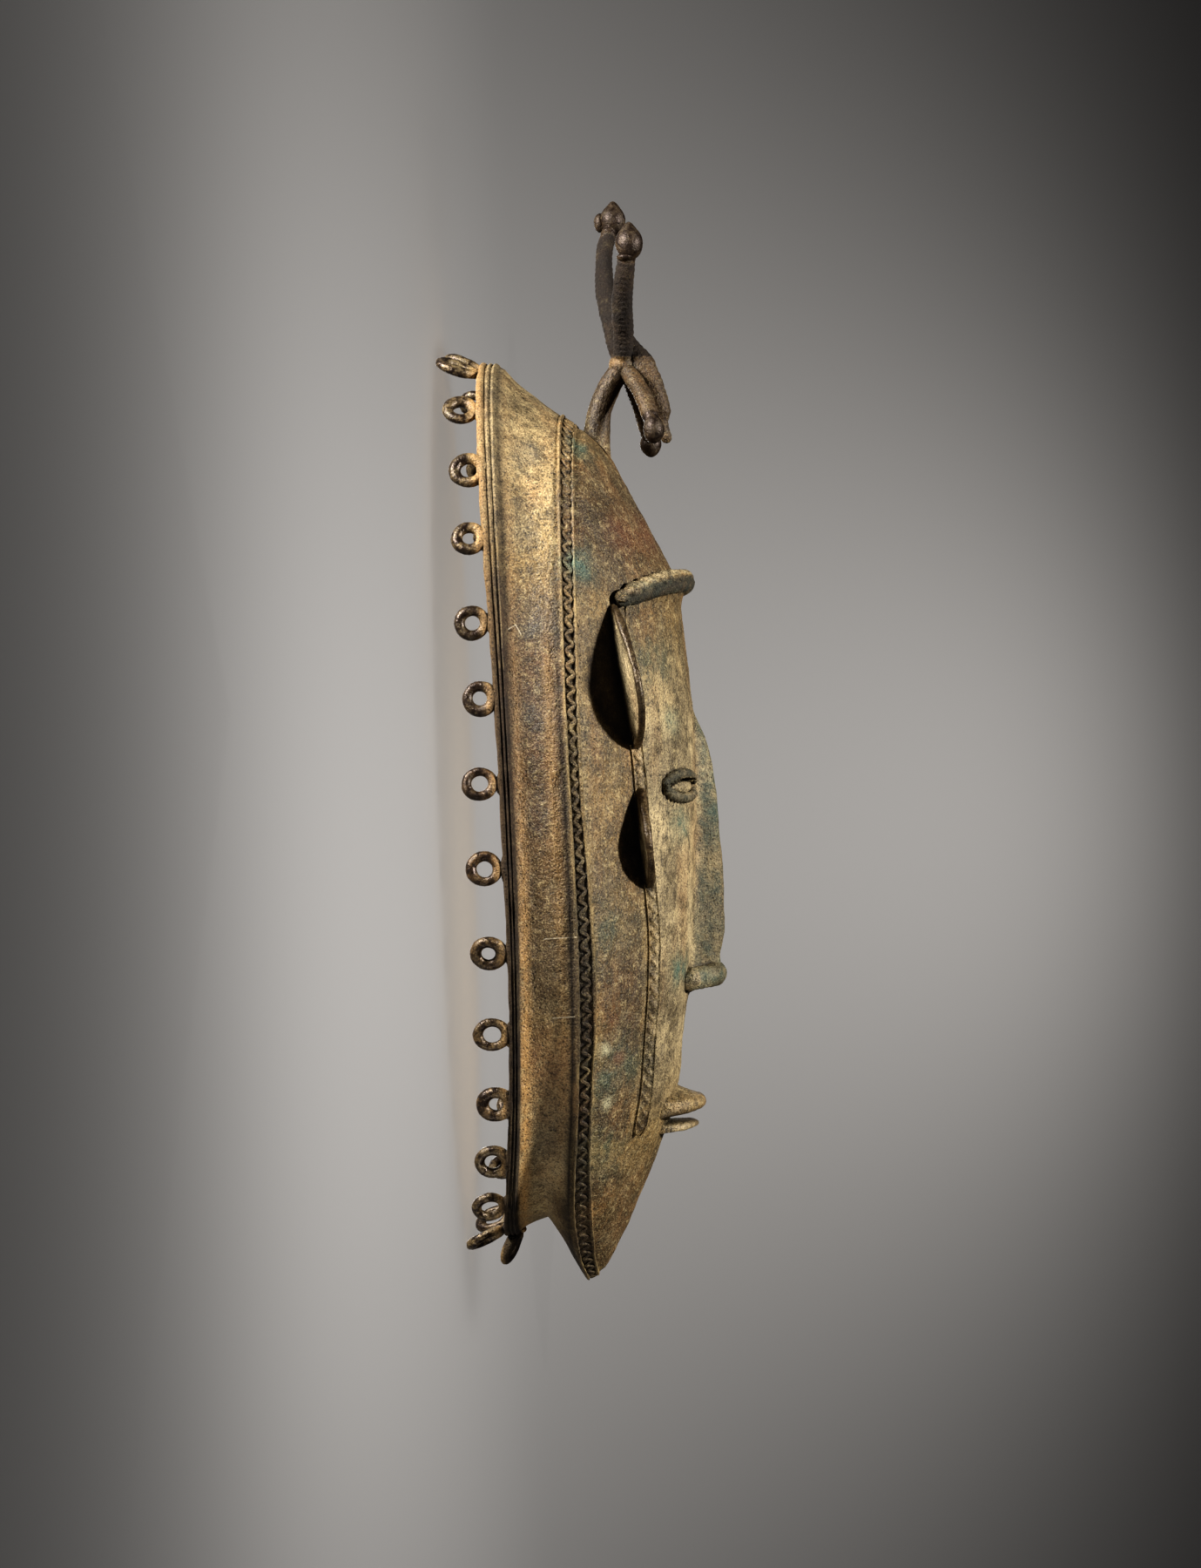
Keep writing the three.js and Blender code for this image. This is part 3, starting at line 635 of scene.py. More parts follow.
def loop(root, lean_degrees, drop, tuck=0.0):
    """A loop from its root on the rim, leaning outwards. drop is half its height, and tuck sets it deeper."""
    slope_x = root.x / RIM["half_width"] ** 2
    slope_y = (root.y - MIDDLE_Y) / RIM["half_height"] ** 2
    outward = Vector((slope_x, slope_y, 0)).normalized()
    along_edge = Vector((-outward.y, outward.x, 0))
    lean = math.radians(lean_degrees)
    backward = outward * math.sin(lean) - Vector((0, 0, math.cos(lean)))
    half_length = drop / math.cos(lean) + LOOP_ROOT_SINK
    wire = chance.uniform(1.5, 1.75)
    bpy.ops.mesh.primitive_torus_add(major_segments=24, minor_segments=10,
                                     major_radius=LOOP_HALF_WIDTH - wire, minor_radius=wire)
    made = new_object("loop")
    tilt = Matrix.Rotation(math.radians(chance.uniform(-14, 14)), 4, "Y")
    stretch = Matrix.Diagonal((chance.uniform(0.95, 1.03), half_length / LOOP_HALF_WIDTH, 1, 1))
    turned = Matrix((along_edge, backward, along_edge.cross(backward))).transposed().to_4x4()
    centre = root + backward * (half_length - LOOP_ROOT_SINK - tuck)
    made.data.transform(TO_METRES @ Matrix.Translation(centre) @ turned @ tilt @ stretch)
    foot = sphere("loop_foot", 12, 7)
    size = Matrix.Diagonal((chance.uniform(3.6, 4.6), chance.uniform(1.1, 1.5), chance.uniform(1.4, 1.9), 1))
    foot.data.transform(TO_METRES @ Matrix.Translation(root + Vector((0, 0, 0.4))) @ turned @ size)
    return [made, foot]


def loop_at(side, angle, tuck):
    """Loops at the crest and the chin reach the floor, and lean outwards there."""
    rise = math.sin(math.radians(angle))
    y = MIDDLE_Y + (RIM["half_height"] - LOOP_ROOT_INSET) * rise
    across = (1 - abs(rise) ** ROUNDNESS) ** (1 / ROUNDNESS)
    x = side * (RIM["half_width"] - LOOP_ROOT_INSET) * across
    root = Vector((x, y, float(through(RIM_BACK, y))))
    lean = max(abs(angle) - LEANS_FROM, 0)
    to_floor = (root.z - LOOP_ROOT_SINK * math.cos(math.radians(lean))) / 2
    drop = to_floor if abs(angle) > REACHES_FLOOR_FROM else 5.1 + chance.uniform(-0.2, 0.5)
    return loop(root, lean, drop, tuck)


def all_loops():
    chin_y = MIDDLE_Y - RIM["half_height"] + LOOP_ROOT_INSET
    made = loop(Vector((0, chin_y, float(through(RIM_BACK, chin_y)) + 4)), lean_degrees=65, drop=2.6)
    for side, first, steps, tucks in RIM_LOOPS:
        for angle, tuck in zip(first - np.concatenate([[0], np.cumsum(steps)]), tucks):
            made += loop_at(side, angle, tuck)
    return made


made = all_loops()
loops, loop_feet = made[0::2], made[1::2]
print("The rim carries", len(loops), "loops")

# %% [markdown]
# ## The crest
#
# A round stem stands on the forehead and carries a knot. From it two flat horns go up, with a ladder of
# rungs on their backs, and two ribbed limbs hang down, all of them ending in egg-shaped knobs. A broad back
# covers the knot from the front and ends in a small curl.

# %% The parts of the crest
def knob(name, centre, radius, length, tip):
    """An egg, from a sphere whose upper end is drawn out, to a small point if tip is 1."""
    made = sphere(name, 30, 20)
    for vertex in made.data.vertices:
        rise = vertex.co.z
        width = 1 - 0.16 * max(rise, 0) ** 2
        vertex.co = Vector((vertex.co.x * width, rise * length, vertex.co.y * width)) * radius
        vertex.co.y += tip * 0.28 * radius * max(rise, 0) ** 10
        vertex.co = (vertex.co + Vector(centre)) * MM
    return sew(made)


def ladder_relief(reach, angle):
    """Beaded edges, and rungs across both broad faces."""
    edge = np.clip((np.abs(np.cos(angle)) - 0.72) * 5, 0, 1)
    beads = np.abs(np.sin(reach / 1.7 * math.pi))
    rungs = np.abs(np.sin(reach / 2.1 * math.pi)) ** 0.8
    return 0.2 * (edge * beads + (1 - edge) * rungs) - 0.1


def ribs_relief(reach, angle):
    return 0.2 * np.abs(np.sin(reach / 1.7 * math.pi)) ** 0.7 - 0.1 + 0 * angle


def scale_relief(reach, angle):
    return 0.13 * np.cos(reach * 1.6 + 3 * angle) * np.cos(reach * 1.6 - 3 * angle)


KNOT = (0, 117.5, 57.8)
HORN_SIZES = ([0, 0.15, 0.55, 0.9, 1], [0.85, 0.95, 1.05, 0.85, 0.65])
LIMB_SIZES = ([0, 0.3, 0.8, 1], [0.8, 1.1, 1.05, 0.8])
BACK_SIZES = ([0, 0.15, 0.35, 0.55, 0.78, 0.86, 1], [1.6, 2.8, 4.1, 4.2, 3.4, 2.2, 1.9])
STEM_SIZES = ([0, 0.12, 0.25, 0.5, 0.75, 1], [7.4, 5.9, 4.7, 3.85, 3.6, 3.6])
ROLLS = [  # name, places, points, width, thickness, up, sides, relief, and its size at shares of the way
    ("horn", [KNOT, (-5, 126.9, 58.8), (-12, 135.5, 58.9), (-18, 144, 60), (-22, 153, 62.2)],
     110, 3.6, 3.2, (0, 0, 1), 20, ladder_relief, HORN_SIZES),
    ("horn", [KNOT, (5, 129.5, 55), (12, 143, 52.8), (18, 155.5, 52.6), (22, 166.4, 55.2)],
     110, 3.5, 3.0, (0, 0, 1), 20, ladder_relief, HORN_SIZES),
    ("limb", [KNOT, (-5, 112.5, 61.5), (-11, 105, 65.2), (-16, 96, 67.7)],
     80, 2.9, 2.6, (0, 0, 1), 16, ribs_relief, LIMB_SIZES),
    ("limb", [KNOT, (5, 112, 60.8), (11, 104, 63.6), (16, 94, 65.6)],
     80, 2.9, 2.6, (0, 0, 1), 16, ribs_relief, LIMB_SIZES),
    ("back", [(0, 129, 58.4), (0, 123.5, 60.6), (0, 117, 64.4), (0, 110, 66.9), (0, 103, 69.4),
              (0, 97.5, 70.1), (0, 94, 71.2)], 100, 1, 0.9, (1, 0, 0), 20, scale_relief, BACK_SIZES),
    ("stem", [(0, 88, 46.5), (0, 94.7, 48.6), (0, 103.8, 50.3), (0, 111.5, 53.9), (0, 118, 58.4)],
     60, 1, 1, (1, 0, 0), 24, None, STEM_SIZES)]
KNOBS = [  # name, centre, radius, length as a share of the width, how far the tip is drawn out
    ("knot", KNOT, 4.3, 1.0, 0), ("knob", (-22, 153.7, 62.1), 4.4, 1.25, 1),
    ("knob", (22, 166.6, 55.6), 4.1, 1.22, 1), ("knob", (-16.3, 95.6, 67.6), 3.3, 1.35, 0),
    ("knob", (16.3, 93.6, 65.6), 3.3, 1.35, 0), ("lens", (22, 166.0, 51.4), 1.9, 1.6, 0),
    ("collar", (-22, 149.4, 61.0), 3.1, 0.5, 0), ("collar", (22, 162.6, 54.2), 2.9, 0.5, 0)]
crest_parts = []
for name, places, count, wide, thick, up, sides, relief, (shares, sizes) in ROLLS:
    size = np.interp(np.linspace(0, 1, count), shares, sizes)
    crest_parts.append(rolled(name, smooth_path(places, count), wide * size, thick * size, up, sides, relief))
crest_parts += [knob(*shape) for shape in KNOBS]
print("The crest has", len(crest_parts), "parts")

# %% [markdown]
# ## Fusing the casting
#
# A boolean union melts each addition into the shell, as metal does, so that nothing overlaps inside. The
# Manifold solver is the quickest, and wants closed meshes, which all of these are. The two slits under the
# eyelids are cut through last, with a flattened sphere as the knife, and small hollows that are left inside
# are taken out. Then two Displace modifiers give the surface the unevenness of a hand-smoothed wax.

# %% Fuse the additions and cut the eyes
def join(pieces):
    """Makes one object of pieces that don't touch each other."""
    bpy.ops.object.select_all(action="DESELECT")
    for piece in pieces:
        piece.select_set(True)
    bpy.context.view_layer.objects.active = pieces[0]
    bpy.ops.object.join()
    return pieces[0]


def fuse(target, tool, operation="UNION"):
    step = target.modifiers.new("fuse", "BOOLEAN")
    step.operation = operation
    step.solver = "MANIFOLD"
    step.object = tool
    apply_step(target, step)
    bpy.data.objects.remove(tool)


def eye_slit(side):
    knife = sphere("eye_slit", 32, 16)
    x, y = side * (EYE_X - 4), EYE_Y + 1.9
    knife.data.transform(TO_METRES @ Matrix.Translation((x, y, float(face_height(x, y))))
                         @ Matrix.Diagonal((6.5, 0.8, 9, 1)))
    return knife


def drop_inner_hollows(target):
    """Keeps what is joined to the highest point, and drops hollows left between rolls that lie together."""
    before = len(target.data.vertices)
    heights = [vertex.co.z for vertex in target.data.vertices]
    edit_from(target, [heights.index(max(heights))])
    bpy.ops.mesh.select_linked()
    bpy.ops.mesh.select_all(action="INVERT")
    bpy.ops.mesh.delete(type="VERT")
    bpy.ops.object.mode_set(mode="OBJECT")
    return before - len(target.data.vertices)


for part in crest_parts[1:]:
    fuse(crest_parts[0], part)
laid_on_first = [band_thread, brow, nostrils, upper_lip, crest_parts[0], *lids, *loops]
laid_on_next = [lower_lip, brow_fill, *jaw_cords, *eyeballs, *loop_feet]
for group in (laid_on_first, laid_on_next, ears):
    fuse(mask, join(group))
fuse(mask, join([eye_slit(side) for side in (-1, 1)]), "DIFFERENCE")
print("Points of hollows inside the metal, now taken out:", drop_inner_hollows(mask))
mask.data.calc_loop_triangles()
print("The casting has", len(mask.data.vertices), "points and", len(mask.data.loop_triangles), "triangles")

# %% Roughen the surface
def uneven(target, size_mm, height_mm):
    """Pushes the surface in and out by a cloudy noise of that size and height."""
    clouds = bpy.data.textures.new("clouds", "CLOUDS")
    clouds.noise_scale = size_mm * MM
    clouds.noise_depth = 1
    step = target.modifiers.new("uneven", "DISPLACE")
    step.texture = clouds
    step.texture_coords = "LOCAL"
    step.mid_level = 0.5
    step.strength = height_mm * MM
    apply_step(target, step)


uneven(mask, size_mm=14, height_mm=0.9)
uneven(mask, size_mm=3.2, height_mm=0.35)
bpy.ops.object.select_all(action="DESELECT")
mask.select_set(True)
bpy.context.view_layer.objects.active = mask
bpy.ops.object.shade_smooth_by_angle(angle=math.radians(50))
mask.data.update()
print("The casting stands from", round(min(v.co.z for v in mask.data.vertices) / MM, 2), "mm")

# %% [markdown]
# ## Painted shade in the hollows, and where hands rub
#
# Hollows are darkened with a painted shade, and hands polish what stands out. Both can be measured on the
# mesh: rays are sent out of each point, and the share that hits something near tells how deep in a hollow the
# point lies.
# The same rays sent inwards tell how sharp an edge it is on.

# %% Measure crevices and edges
def ray_fan(count):
    """Directions spread over half a sphere round +Z."""
    k = np.arange(count) + 0.5
    slope = np.sqrt(k / count) * 0.96
    turn = k * math.pi * (1 + math.sqrt(5))
    return np.stack([slope * np.cos(turn), slope * np.sin(turn), np.sqrt(1 - slope ** 2)], axis=1)


def closeness(target, tree, reaches_mm, inward, rays):
    """How much of a point's surroundings is filled, once for each reach: 0 is open, 1 is closed in."""
    reaches = np.array(reaches_mm) * MM
    fan = ray_fan(rays)
    found = np.zeros((len(target.data.vertices), len(reaches)))
    for vertex in target.data.vertices:
        normal = -vertex.normal if inward else vertex.normal
        turn = np.array(normal.to_track_quat("Z", "Y").to_matrix())
        start = vertex.co + normal * 0.00006
        for way in fan @ turn.T:
            distance = tree.ray_cast(start, way, reaches[0])[3]
            if distance is not None:
                found[vertex.index] += np.maximum(1 - distance / reaches, 0)
    return found.T / rays


bvh = BVHTree.FromObject(mask, bpy.context.evaluated_depsgraph_get())
hollow, groove = closeness(mask, bvh, (4.0, 1.3), inward=False, rays=16)
edge, = closeness(mask, bvh, (1.6,), inward=True, rays=10)
points = np.array([v.co for v in mask.data.vertices]) / MM
x, y, z = points.T
beyond_edge = np.abs(x) - through(INNER_FACE_EDGE, y)
lower_cord = np.exp(-(beyond_edge / 4) ** 4) * (y < -50) * (z > 30)
# How deep in a hollow each point lies. It is later painted as shade: the deeper, the darker.
crevice_shade = np.maximum(hollow * 2.0, groove * 2.6) * (1 - 0.85 * lower_cord)
print("Mean crevice", crevice_shade.mean().round(3), "and mean edge", edge.mean().round(3))

# %% [markdown]
# ## What happened to each part
#
# Some things can't be measured on the mesh, because they come from use. The loops, the knobs, the stem and
# the ears' edges were held and rubbed. Each such mark is worked out from where a point lies, as a number from
# 0 to 1, and is stored on the mesh as an attribute that the material reads. The helpers from the outlines do
# it: ramp() starts a mark at a place, and bell() lays one along a line.

# %% Mark what hands have rubbed
def store(target, name, *marks):
    """Stores the strongest of some marks as an attribute."""
    values = np.clip(np.maximum.reduce(marks), 0, 1)
    attribute = target.data.attributes.new(name, "FLOAT", "POINT")
    attribute.data.foreach_set("value", values.astype(np.float32))
    print(f"{name}: {int((values > 0.5).sum())} points of {len(values)}")


normal_z = np.array([v.normal.z for v in mask.data.vertices])
above_rim = z - through(RIM_BACK, y)
above_face = z - face_height(x, np.minimum(y, 97))
outside = np.hypot(x / 70, (y - MIDDLE_Y) / 132) > 0.9
on_loops = ramp(-above_rim, 1.2, 2.5) * outside
on_crest = ramp(y, 90, 8) * ramp(above_face, 0.8, 2.5)
knob_centres = [centre for name, centre, *_ in KNOBS if name in ("knob", "lens")]
near_knob = np.min([np.linalg.norm(points - centre, axis=1) for centre in knob_centres], axis=0)
on_knobs = ramp(-near_knob, -6.8, 1.0)
on_horns = on_crest * (y > 120) * (1 - on_knobs)
on_stem = on_crest * (z < 58) * (y < 117) * (np.abs(x) < 6)
ear_depths = np.max([ear_reach(y, top, foot, reach) * (y < top + 1) * (y > foot - 1)
                     for top, foot, reach, lean in EAR_SHAPES], axis=0)
off_cheek = ramp(above_face, 1.2, 0.8) * (np.abs(x) > 45) * (ear_depths > 0.5)
on_ears = off_cheek * ramp(beyond_edge - ear_depths, -0.6, 0.4)
# Painted light: the outer part of each ear's lower back is painted light, as a lit face.
lit_ear_backs = off_cheek * (normal_z < 0) * ramp(beyond_edge, 0.12 * ear_depths, 1.2) * (1 - on_ears)
on_lip = bell(y, -121.5, 2.5) * ramp(above_face, 1, 2) * (z < 75)
store(mask, "handled", on_loops, on_knobs, 0.6 * on_stem, 0.8 * on_ears, 0.35 * on_crest * (1 - on_horns),
      0.9 * on_lip)
# Painted shade in the hollows, kept off the lit backs of the ears.
store(mask, "crevice_shade", crevice_shade * (1 - 0.8 * lit_ear_backs))

# %% [markdown]
# ## Light and dark skin, with painted light and shade
#
# The skin is light and yellow at the brow end, and dark and brown at the chin end. Tables along the mask
# give its tone, one each for the wall, the face and the cheek, and some small places have their own. The
# tables hold painted light as well as the skin's own colour: the lower wall by the chin is painted lighter
# where the lamps leave it dim. Painted light lies on the lit backs of the ears, on the top of the brow and
# along the face inside the band, and painted shade lies on the lower side of the brow.

# %% Tone of the skin, with painted light and shade
# Tone along the wall, the face and the cheek: the skin's colour and painted light together.
wall_tone = through([(-172, 0.5), (-130, 0.7), (-100, 0.5), (-60, 0.24), (-16, 0.03), (28, 0.06), (62, 0.52),
                     (115, 0.68)], y)
face_tone = through([(-172, 0.18), (-140, 0.24), (-100, 0.78), (-40, 0.84), (-5, 0.82), (20, 0.6), (60, 0.08),
                     (100, 0.36)], y)
cheek_tone = through([(-172, 0.14), (-130, 0.1), (-80, 0.1), (-20, 0.38), (30, 0.42), (60, 0.28),
                      (100, 0.48)], y)
below_band = through(BAND_BACK, y) - z
above_band = z - through(BAND_FRONT, y)
on_wall = ramp(below_band, -1, 2)
cheek = ramp(beyond_edge, 0, 3) * (y > -126) * (y < 44)
on_nose = ramp(above_face, 0, 2) * (np.abs(x) < 10) * (y < 10) * (y > -82)
on_bar = bell(y, -77.5, 4) * (np.abs(x) < 15) * ramp(above_face, 0, 1.5)
above_brow = y - brow_line(x)
on_brow = ramp(above_face, 0.6, 1.5) * ramp(above_brow, -3.6, 1) * (y < 53) * (np.abs(x) < 56)
# Painted shade on the lower side of the brow roll, and painted light on its top.
shaded_brow_side = on_brow * ramp(-above_brow, -2.6, 1.5)
lit_brow_top = on_brow * ramp(above_brow, 2.2, 1)
from_eye = ((np.abs(x) - EYE_X) / LID_HALF_WIDTH) ** 2 + ((y - EYE_Y) / LID_HALF_HEIGHT) ** 2
on_lid = ramp(from_eye, 0.45, 0.15) * (from_eye < 2.2) * ramp(above_face, 0.4, 0.6)
on_ball = ramp(-from_eye, -0.4, 0.1)
# Painted highlight: a light line on the face just inside the band, on its lower part.
lit_face_rim = bell(above_band, 0.6, 1.3) * (y < 20) * (np.abs(above_face) < 1.2)
by_jaw_cord = bell(beyond_edge, 3.2, 1.4) * (y < -52) * (y > -126) * (z > 40)
on_lower_lip = ramp(above_face, 0.5, 1) * (y < -123.2) * (y > -130) * (np.abs(x) < 14)
tone_and_painted_light = face_tone + (cheek_tone - face_tone) * cheek
tone_and_painted_light += (wall_tone - tone_and_painted_light) * on_wall
# The lower side of the brow is painted darker as shade. The nose, the crest and the horns are darker too.
tone_and_painted_light *= (1 - 0.3 * on_nose) * (1 - 0.6 * shaded_brow_side) * (1 - 0.5 * on_crest) * (1 - on_horns)
# Painted light on the lit backs of the ears, the top of the brow and the line inside the band.
store(mask, "tone_and_painted_light", tone_and_painted_light, lit_ear_backs, 0.9 * on_ball, 0.9 * lit_brow_top, 0.62 * lit_face_rim, 0.6 * by_jaw_cord,
      0.8 * on_lower_lip)

# %% [markdown]
# ## Soot, earth and painted shade
#
# Dark soot lies on the crest and its knobs, the lids, the nose and the nostrils. In the same dark colour,
# painted shadow and painted shade stand where the lamps leave shade: under the ears, on the rim between its
# ridges and at its front edge, between the lips, left of the band, on the wall at the chin and on the lower
# side of the brow. Inside the band and on the horns the skin is darker too. Pale earth lies behind and before
# the rim, and before it the earth is partly a painted highlight. Verdigris, blue-grey slate colour and red
# cuprite have grown in spots, which are placed as on the real mask.

# %% Soot, painted shade, worn and highlighted edges, and earth
# Painted shadow: black on the cheek under each ear, and on the inner part of the ear's lower back.
painted_shadow_under_ears = ramp(0.85 * ear_depths, beyond_edge, 2) * ramp(beyond_edge, -1, 1.5)
painted_shadow_under_ears *= (1 - off_cheek) * (y < 44) + off_cheek * (normal_z < 0) * (1 - lit_ear_backs)
rim_share = above_rim / (through(RIM_FRONT, y) - through(RIM_BACK, y))
# Painted shade on the rim, darker towards the chin, and a painted shadow at its front edge, stronger towards
# the crest.
on_rim = ramp(above_rim, -1.6, 1) * ramp(-rim_share, -0.98, 0.1) * outside
painted_shadow_by_rim = bell(rim_share, 0.95, 0.16) * outside
# Painted shadow of the band's back edge on the wall, darkest towards the chin.
painted_shadow_left_of_band = bell(below_band, 0.9, 0.85) * (np.abs(above_face) > 2) * (z > 26)
in_band = (below_band < 0) * (above_band < -0.8) * (np.abs(above_face) > 0.5) * outside
# Painted shade in the slit between the lips.
painted_shade_between_lips = bell(y, -121.3, 1.6) * (above_face > 0.4) * (z < 73.5) * (np.abs(x) < 21)
# Painted shadow on the wall at the chin, beside the band.
painted_shadow_at_chin = on_wall * ramp(-y, 136, 12) * ramp(z, 27, 6) * (below_band > 0)
# Soot on the crest, the knobs, the lids, the nose and the nostrils. Painted shadow goes under the ears, at
# the rim's front edge, left of the band and on the wall at the chin. Painted shade goes between the lips, on
# the rim and on the lower side of the brow. The skin is also darker inside the band and on the horns.
store(mask, "soot_and_shade", 0.96 * on_horns, 0.5 * on_knobs, 0.35 * on_crest, 0.72 * shaded_brow_side, 0.97 * painted_shadow_under_ears,
      0.6 * on_lid, 0.35 * on_nose * ramp(-y, 12, 12), 0.3 * on_bar, 0.75 * painted_shade_between_lips, 0.9 * painted_shadow_at_chin,
      on_rim * through([(-170, 0.96), (-60, 0.94), (20, 0.8), (70, 0.45), (115, 0.3)], y),
      painted_shadow_by_rim * through([(-170, 0), (-40, 0.2), (20, 0.65), (115, 0.65)], y),
      painted_shadow_left_of_band * through([(-172, 1), (-60, 0.97), (0, 0.6), (60, 0.2)], y),
      in_band * through([(-172, 0.55), (-60, 0.35), (0, 0.15), (60, 0)], y))
# Sharp edges are painted lighter later, partly as wear and partly as a painted highlight along the ridges,
# and less so on the lower rim.
store(mask, "edge", edge * 1.7 * (1 - 0.6 * on_rim * (y < 20)))
behind_rim = bell(above_rim, -0.3, 2.2) * outside
# Before the rim the wall is painted lighter towards the chin: partly earth, and partly a painted highlight
# where the wall turns to the light.
earth_and_highlight_before_rim = bell(z - through(RIM_FRONT, y), 1.3, 1.6) * on_wall
beside_band = bell(below_band, 4, 2) * outside
at_knot = bell(y, 118.5, 1.3) * on_crest * (z < 59)
store(mask, "earth_and_highlight", 0.9 * behind_rim, 0.6 * at_knot, 0.12 * on_wall * (y < -30),
      earth_and_highlight_before_rim * through([(-170, 1), (-60, 0.9), (30, 0.35), (110, 0.15)], y),
      beside_band * through([(-172, 0.3), (-60, 0.35), (15, 0.4), (40, 0.1), (75, 0)], y))

# %% Spots that have grown
GREEN = [(-33.7, 89, 44.5, 4, 0.9), (-58, 80, 45, 4, 0.7), (-61.9, 50.9, 44.6, 5, 0.9),
         (-45.6, 42.9, 65.3, 4, 0.6), (-32.1, 3.2, 70.4, 3.5, 0.8), (-27.5, -29.5, 72, 4.2, 1),
         (-2.5, -25, 82.2, 5, 0.8), (-25.1, -74.2, 70.3, 4.5, 1), (-45, -150, 44, 3, 0.8),
         (-54, -104, 49, 10, 0.45), (-50, -130, 46, 8, 0.4), (-62, -60, 49, 9, 0.3), (-40, 22, 66, 8, 0.3)]
SLATE = [(-72, 6, 31, 13, 0.75), (-72, -24, 30, 9, 0.5), (-45, 87, 29, 4.5, 0.9), (-70, 34, 32, 9, 0.7),
         (-64, 62, 29, 4, 0.5), (-69, -70, 36, 8, 0.4)]
CUPRITE = [(-53.7, -99.9, 51.5, 2.2, 1), (-57, -88, 50, 2, 0.7), (-24, 64, 68, 9, 0.5), (-40, 62, 58, 7, 0.4),
           (-60, -98, 30, 9, 0.4), (40, -60, 60, 6, 0.5)]
PALE = [(-60, -96.7, 47.9, 1.8, 1), (-52.4, -113.5, 47.5, 1.8, 1), (-62, -52, 41, 3, 0.6),
        (-50, -60, 55, 2, 0.5)]


def spots(places, steep=1.0):
    """How strongly a point lies in one of some soft spots, each given as X, Y, Z, size and strength."""
    found = []
    for a, b, c, size, strength in places:
        away = ((x - a) / (2 * size)) ** 2 + ((y - b) / size) ** 2 + ((z - c) / size) ** 2
        found.append(strength * np.exp(-away ** steep))
    return np.max(found, axis=0)


store(mask, "verdigris", spots(GREEN), 0.4 * on_nose, 0.75 * on_bar, 0.45 * shaded_brow_side, 0.3 * on_lid)
store(mask, "slate", spots(SLATE))
store(mask, "cuprite", spots(CUPRITE, 2))
store(mask, "pale", spots(PALE, 2))
print("Spots have grown in", len(GREEN + SLATE + CUPRITE + PALE), "places")

# %% [markdown]
# ## Old patinated brass
#
# Cast brass that was kept in smoke and earth loses its shine. It has a matt skin with the sandy grain of the
# mould, under half a millimetre, and pits of a millimetre here and there. So noises of several sizes are made
# first. Each layer of colour is then drawn by one of them or by one of the marks, in the order of a table.

# %% Helpers for materials
def linear(hex_colour):
    """Turns an sRGB hex colour to the linear values that Blender's sockets take."""
    parts = [int(hex_colour[i:i + 2], 16) / 255 for i in (1, 3, 5)]
    return tuple(p / 12.92 if p <= 0.04045 else ((p + 0.055) / 1.055) ** 2.4 for p in parts) + (1.0,)


def add(tree, kind, inputs=(), **settings):
    """Adds a node, sets its settings, and fills its inputs with values or links them to other nodes."""
    made = tree.nodes.new(kind)
    for name, value in settings.items():
        setattr(made, name, value)
    for key, value in dict(inputs).items():
        if isinstance(value, bpy.types.Node):
            value = next(output for output in value.outputs if output.enabled)
        if isinstance(value, bpy.types.NodeSocket):
            tree.links.new(value, made.inputs[key])
        else:
            made.inputs[key].default_value = linear(value) if isinstance(value, str) else value
    return made


print("Olive brown in linear values:", [round(c, 3) for c in linear("#8d7c55")])

# %% Build the patina
brass = bpy.data.materials.new("old_patinated_cast_brass")
brass.use_nodes = True
tree = brass.node_tree
shader = tree.nodes["Principled BSDF"]
place = add(tree, "ShaderNodeTexCoord").outputs["Object"]
streaked = add(tree, "ShaderNodeMapping", {"Vector": place, "Scale": (1, 0.2, 1)})
MARKS = ("crevice_shade", "edge", "handled", "tone_and_painted_light", "earth_and_highlight", "verdigris", "slate", "cuprite", "pale", "soot_and_shade")
crevice_shade, edge, handled, tone_and_painted_light, earth_and_highlight, green, slate, cuprite, pale, soot_and_shade = (
    add(tree, "ShaderNodeAttribute", attribute_name=name).outputs["Fac"] for name in MARKS)
NOISES = [  # coordinates, size in mm, detail, roughness
    (place, 0.55, 2, 0.7), (place, 2.4, 3, 0.65), (place, 7, 4, 0.65), (place, 22, 4, 0.6),
    (streaked, 13, 3, 0.5), (streaked, 1.5, 3, 0.6)]
sand, lumps, blots, patches, clouds, wrinkles = (
    add(tree, "ShaderNodeTexNoise", {"Vector": where, "Scale": 1 / (size_mm * MM), "Detail": detail,
                                     "Roughness": roughness}) for where, size_mm, detail, roughness in NOISES)
pits = add(tree, "ShaderNodeTexVoronoi", {"Vector": place, "Scale": 1 / (1.3 * MM), "Randomness": 1})
print("The brass has", len(NOISES), "kinds of cloudy noise, and pits")

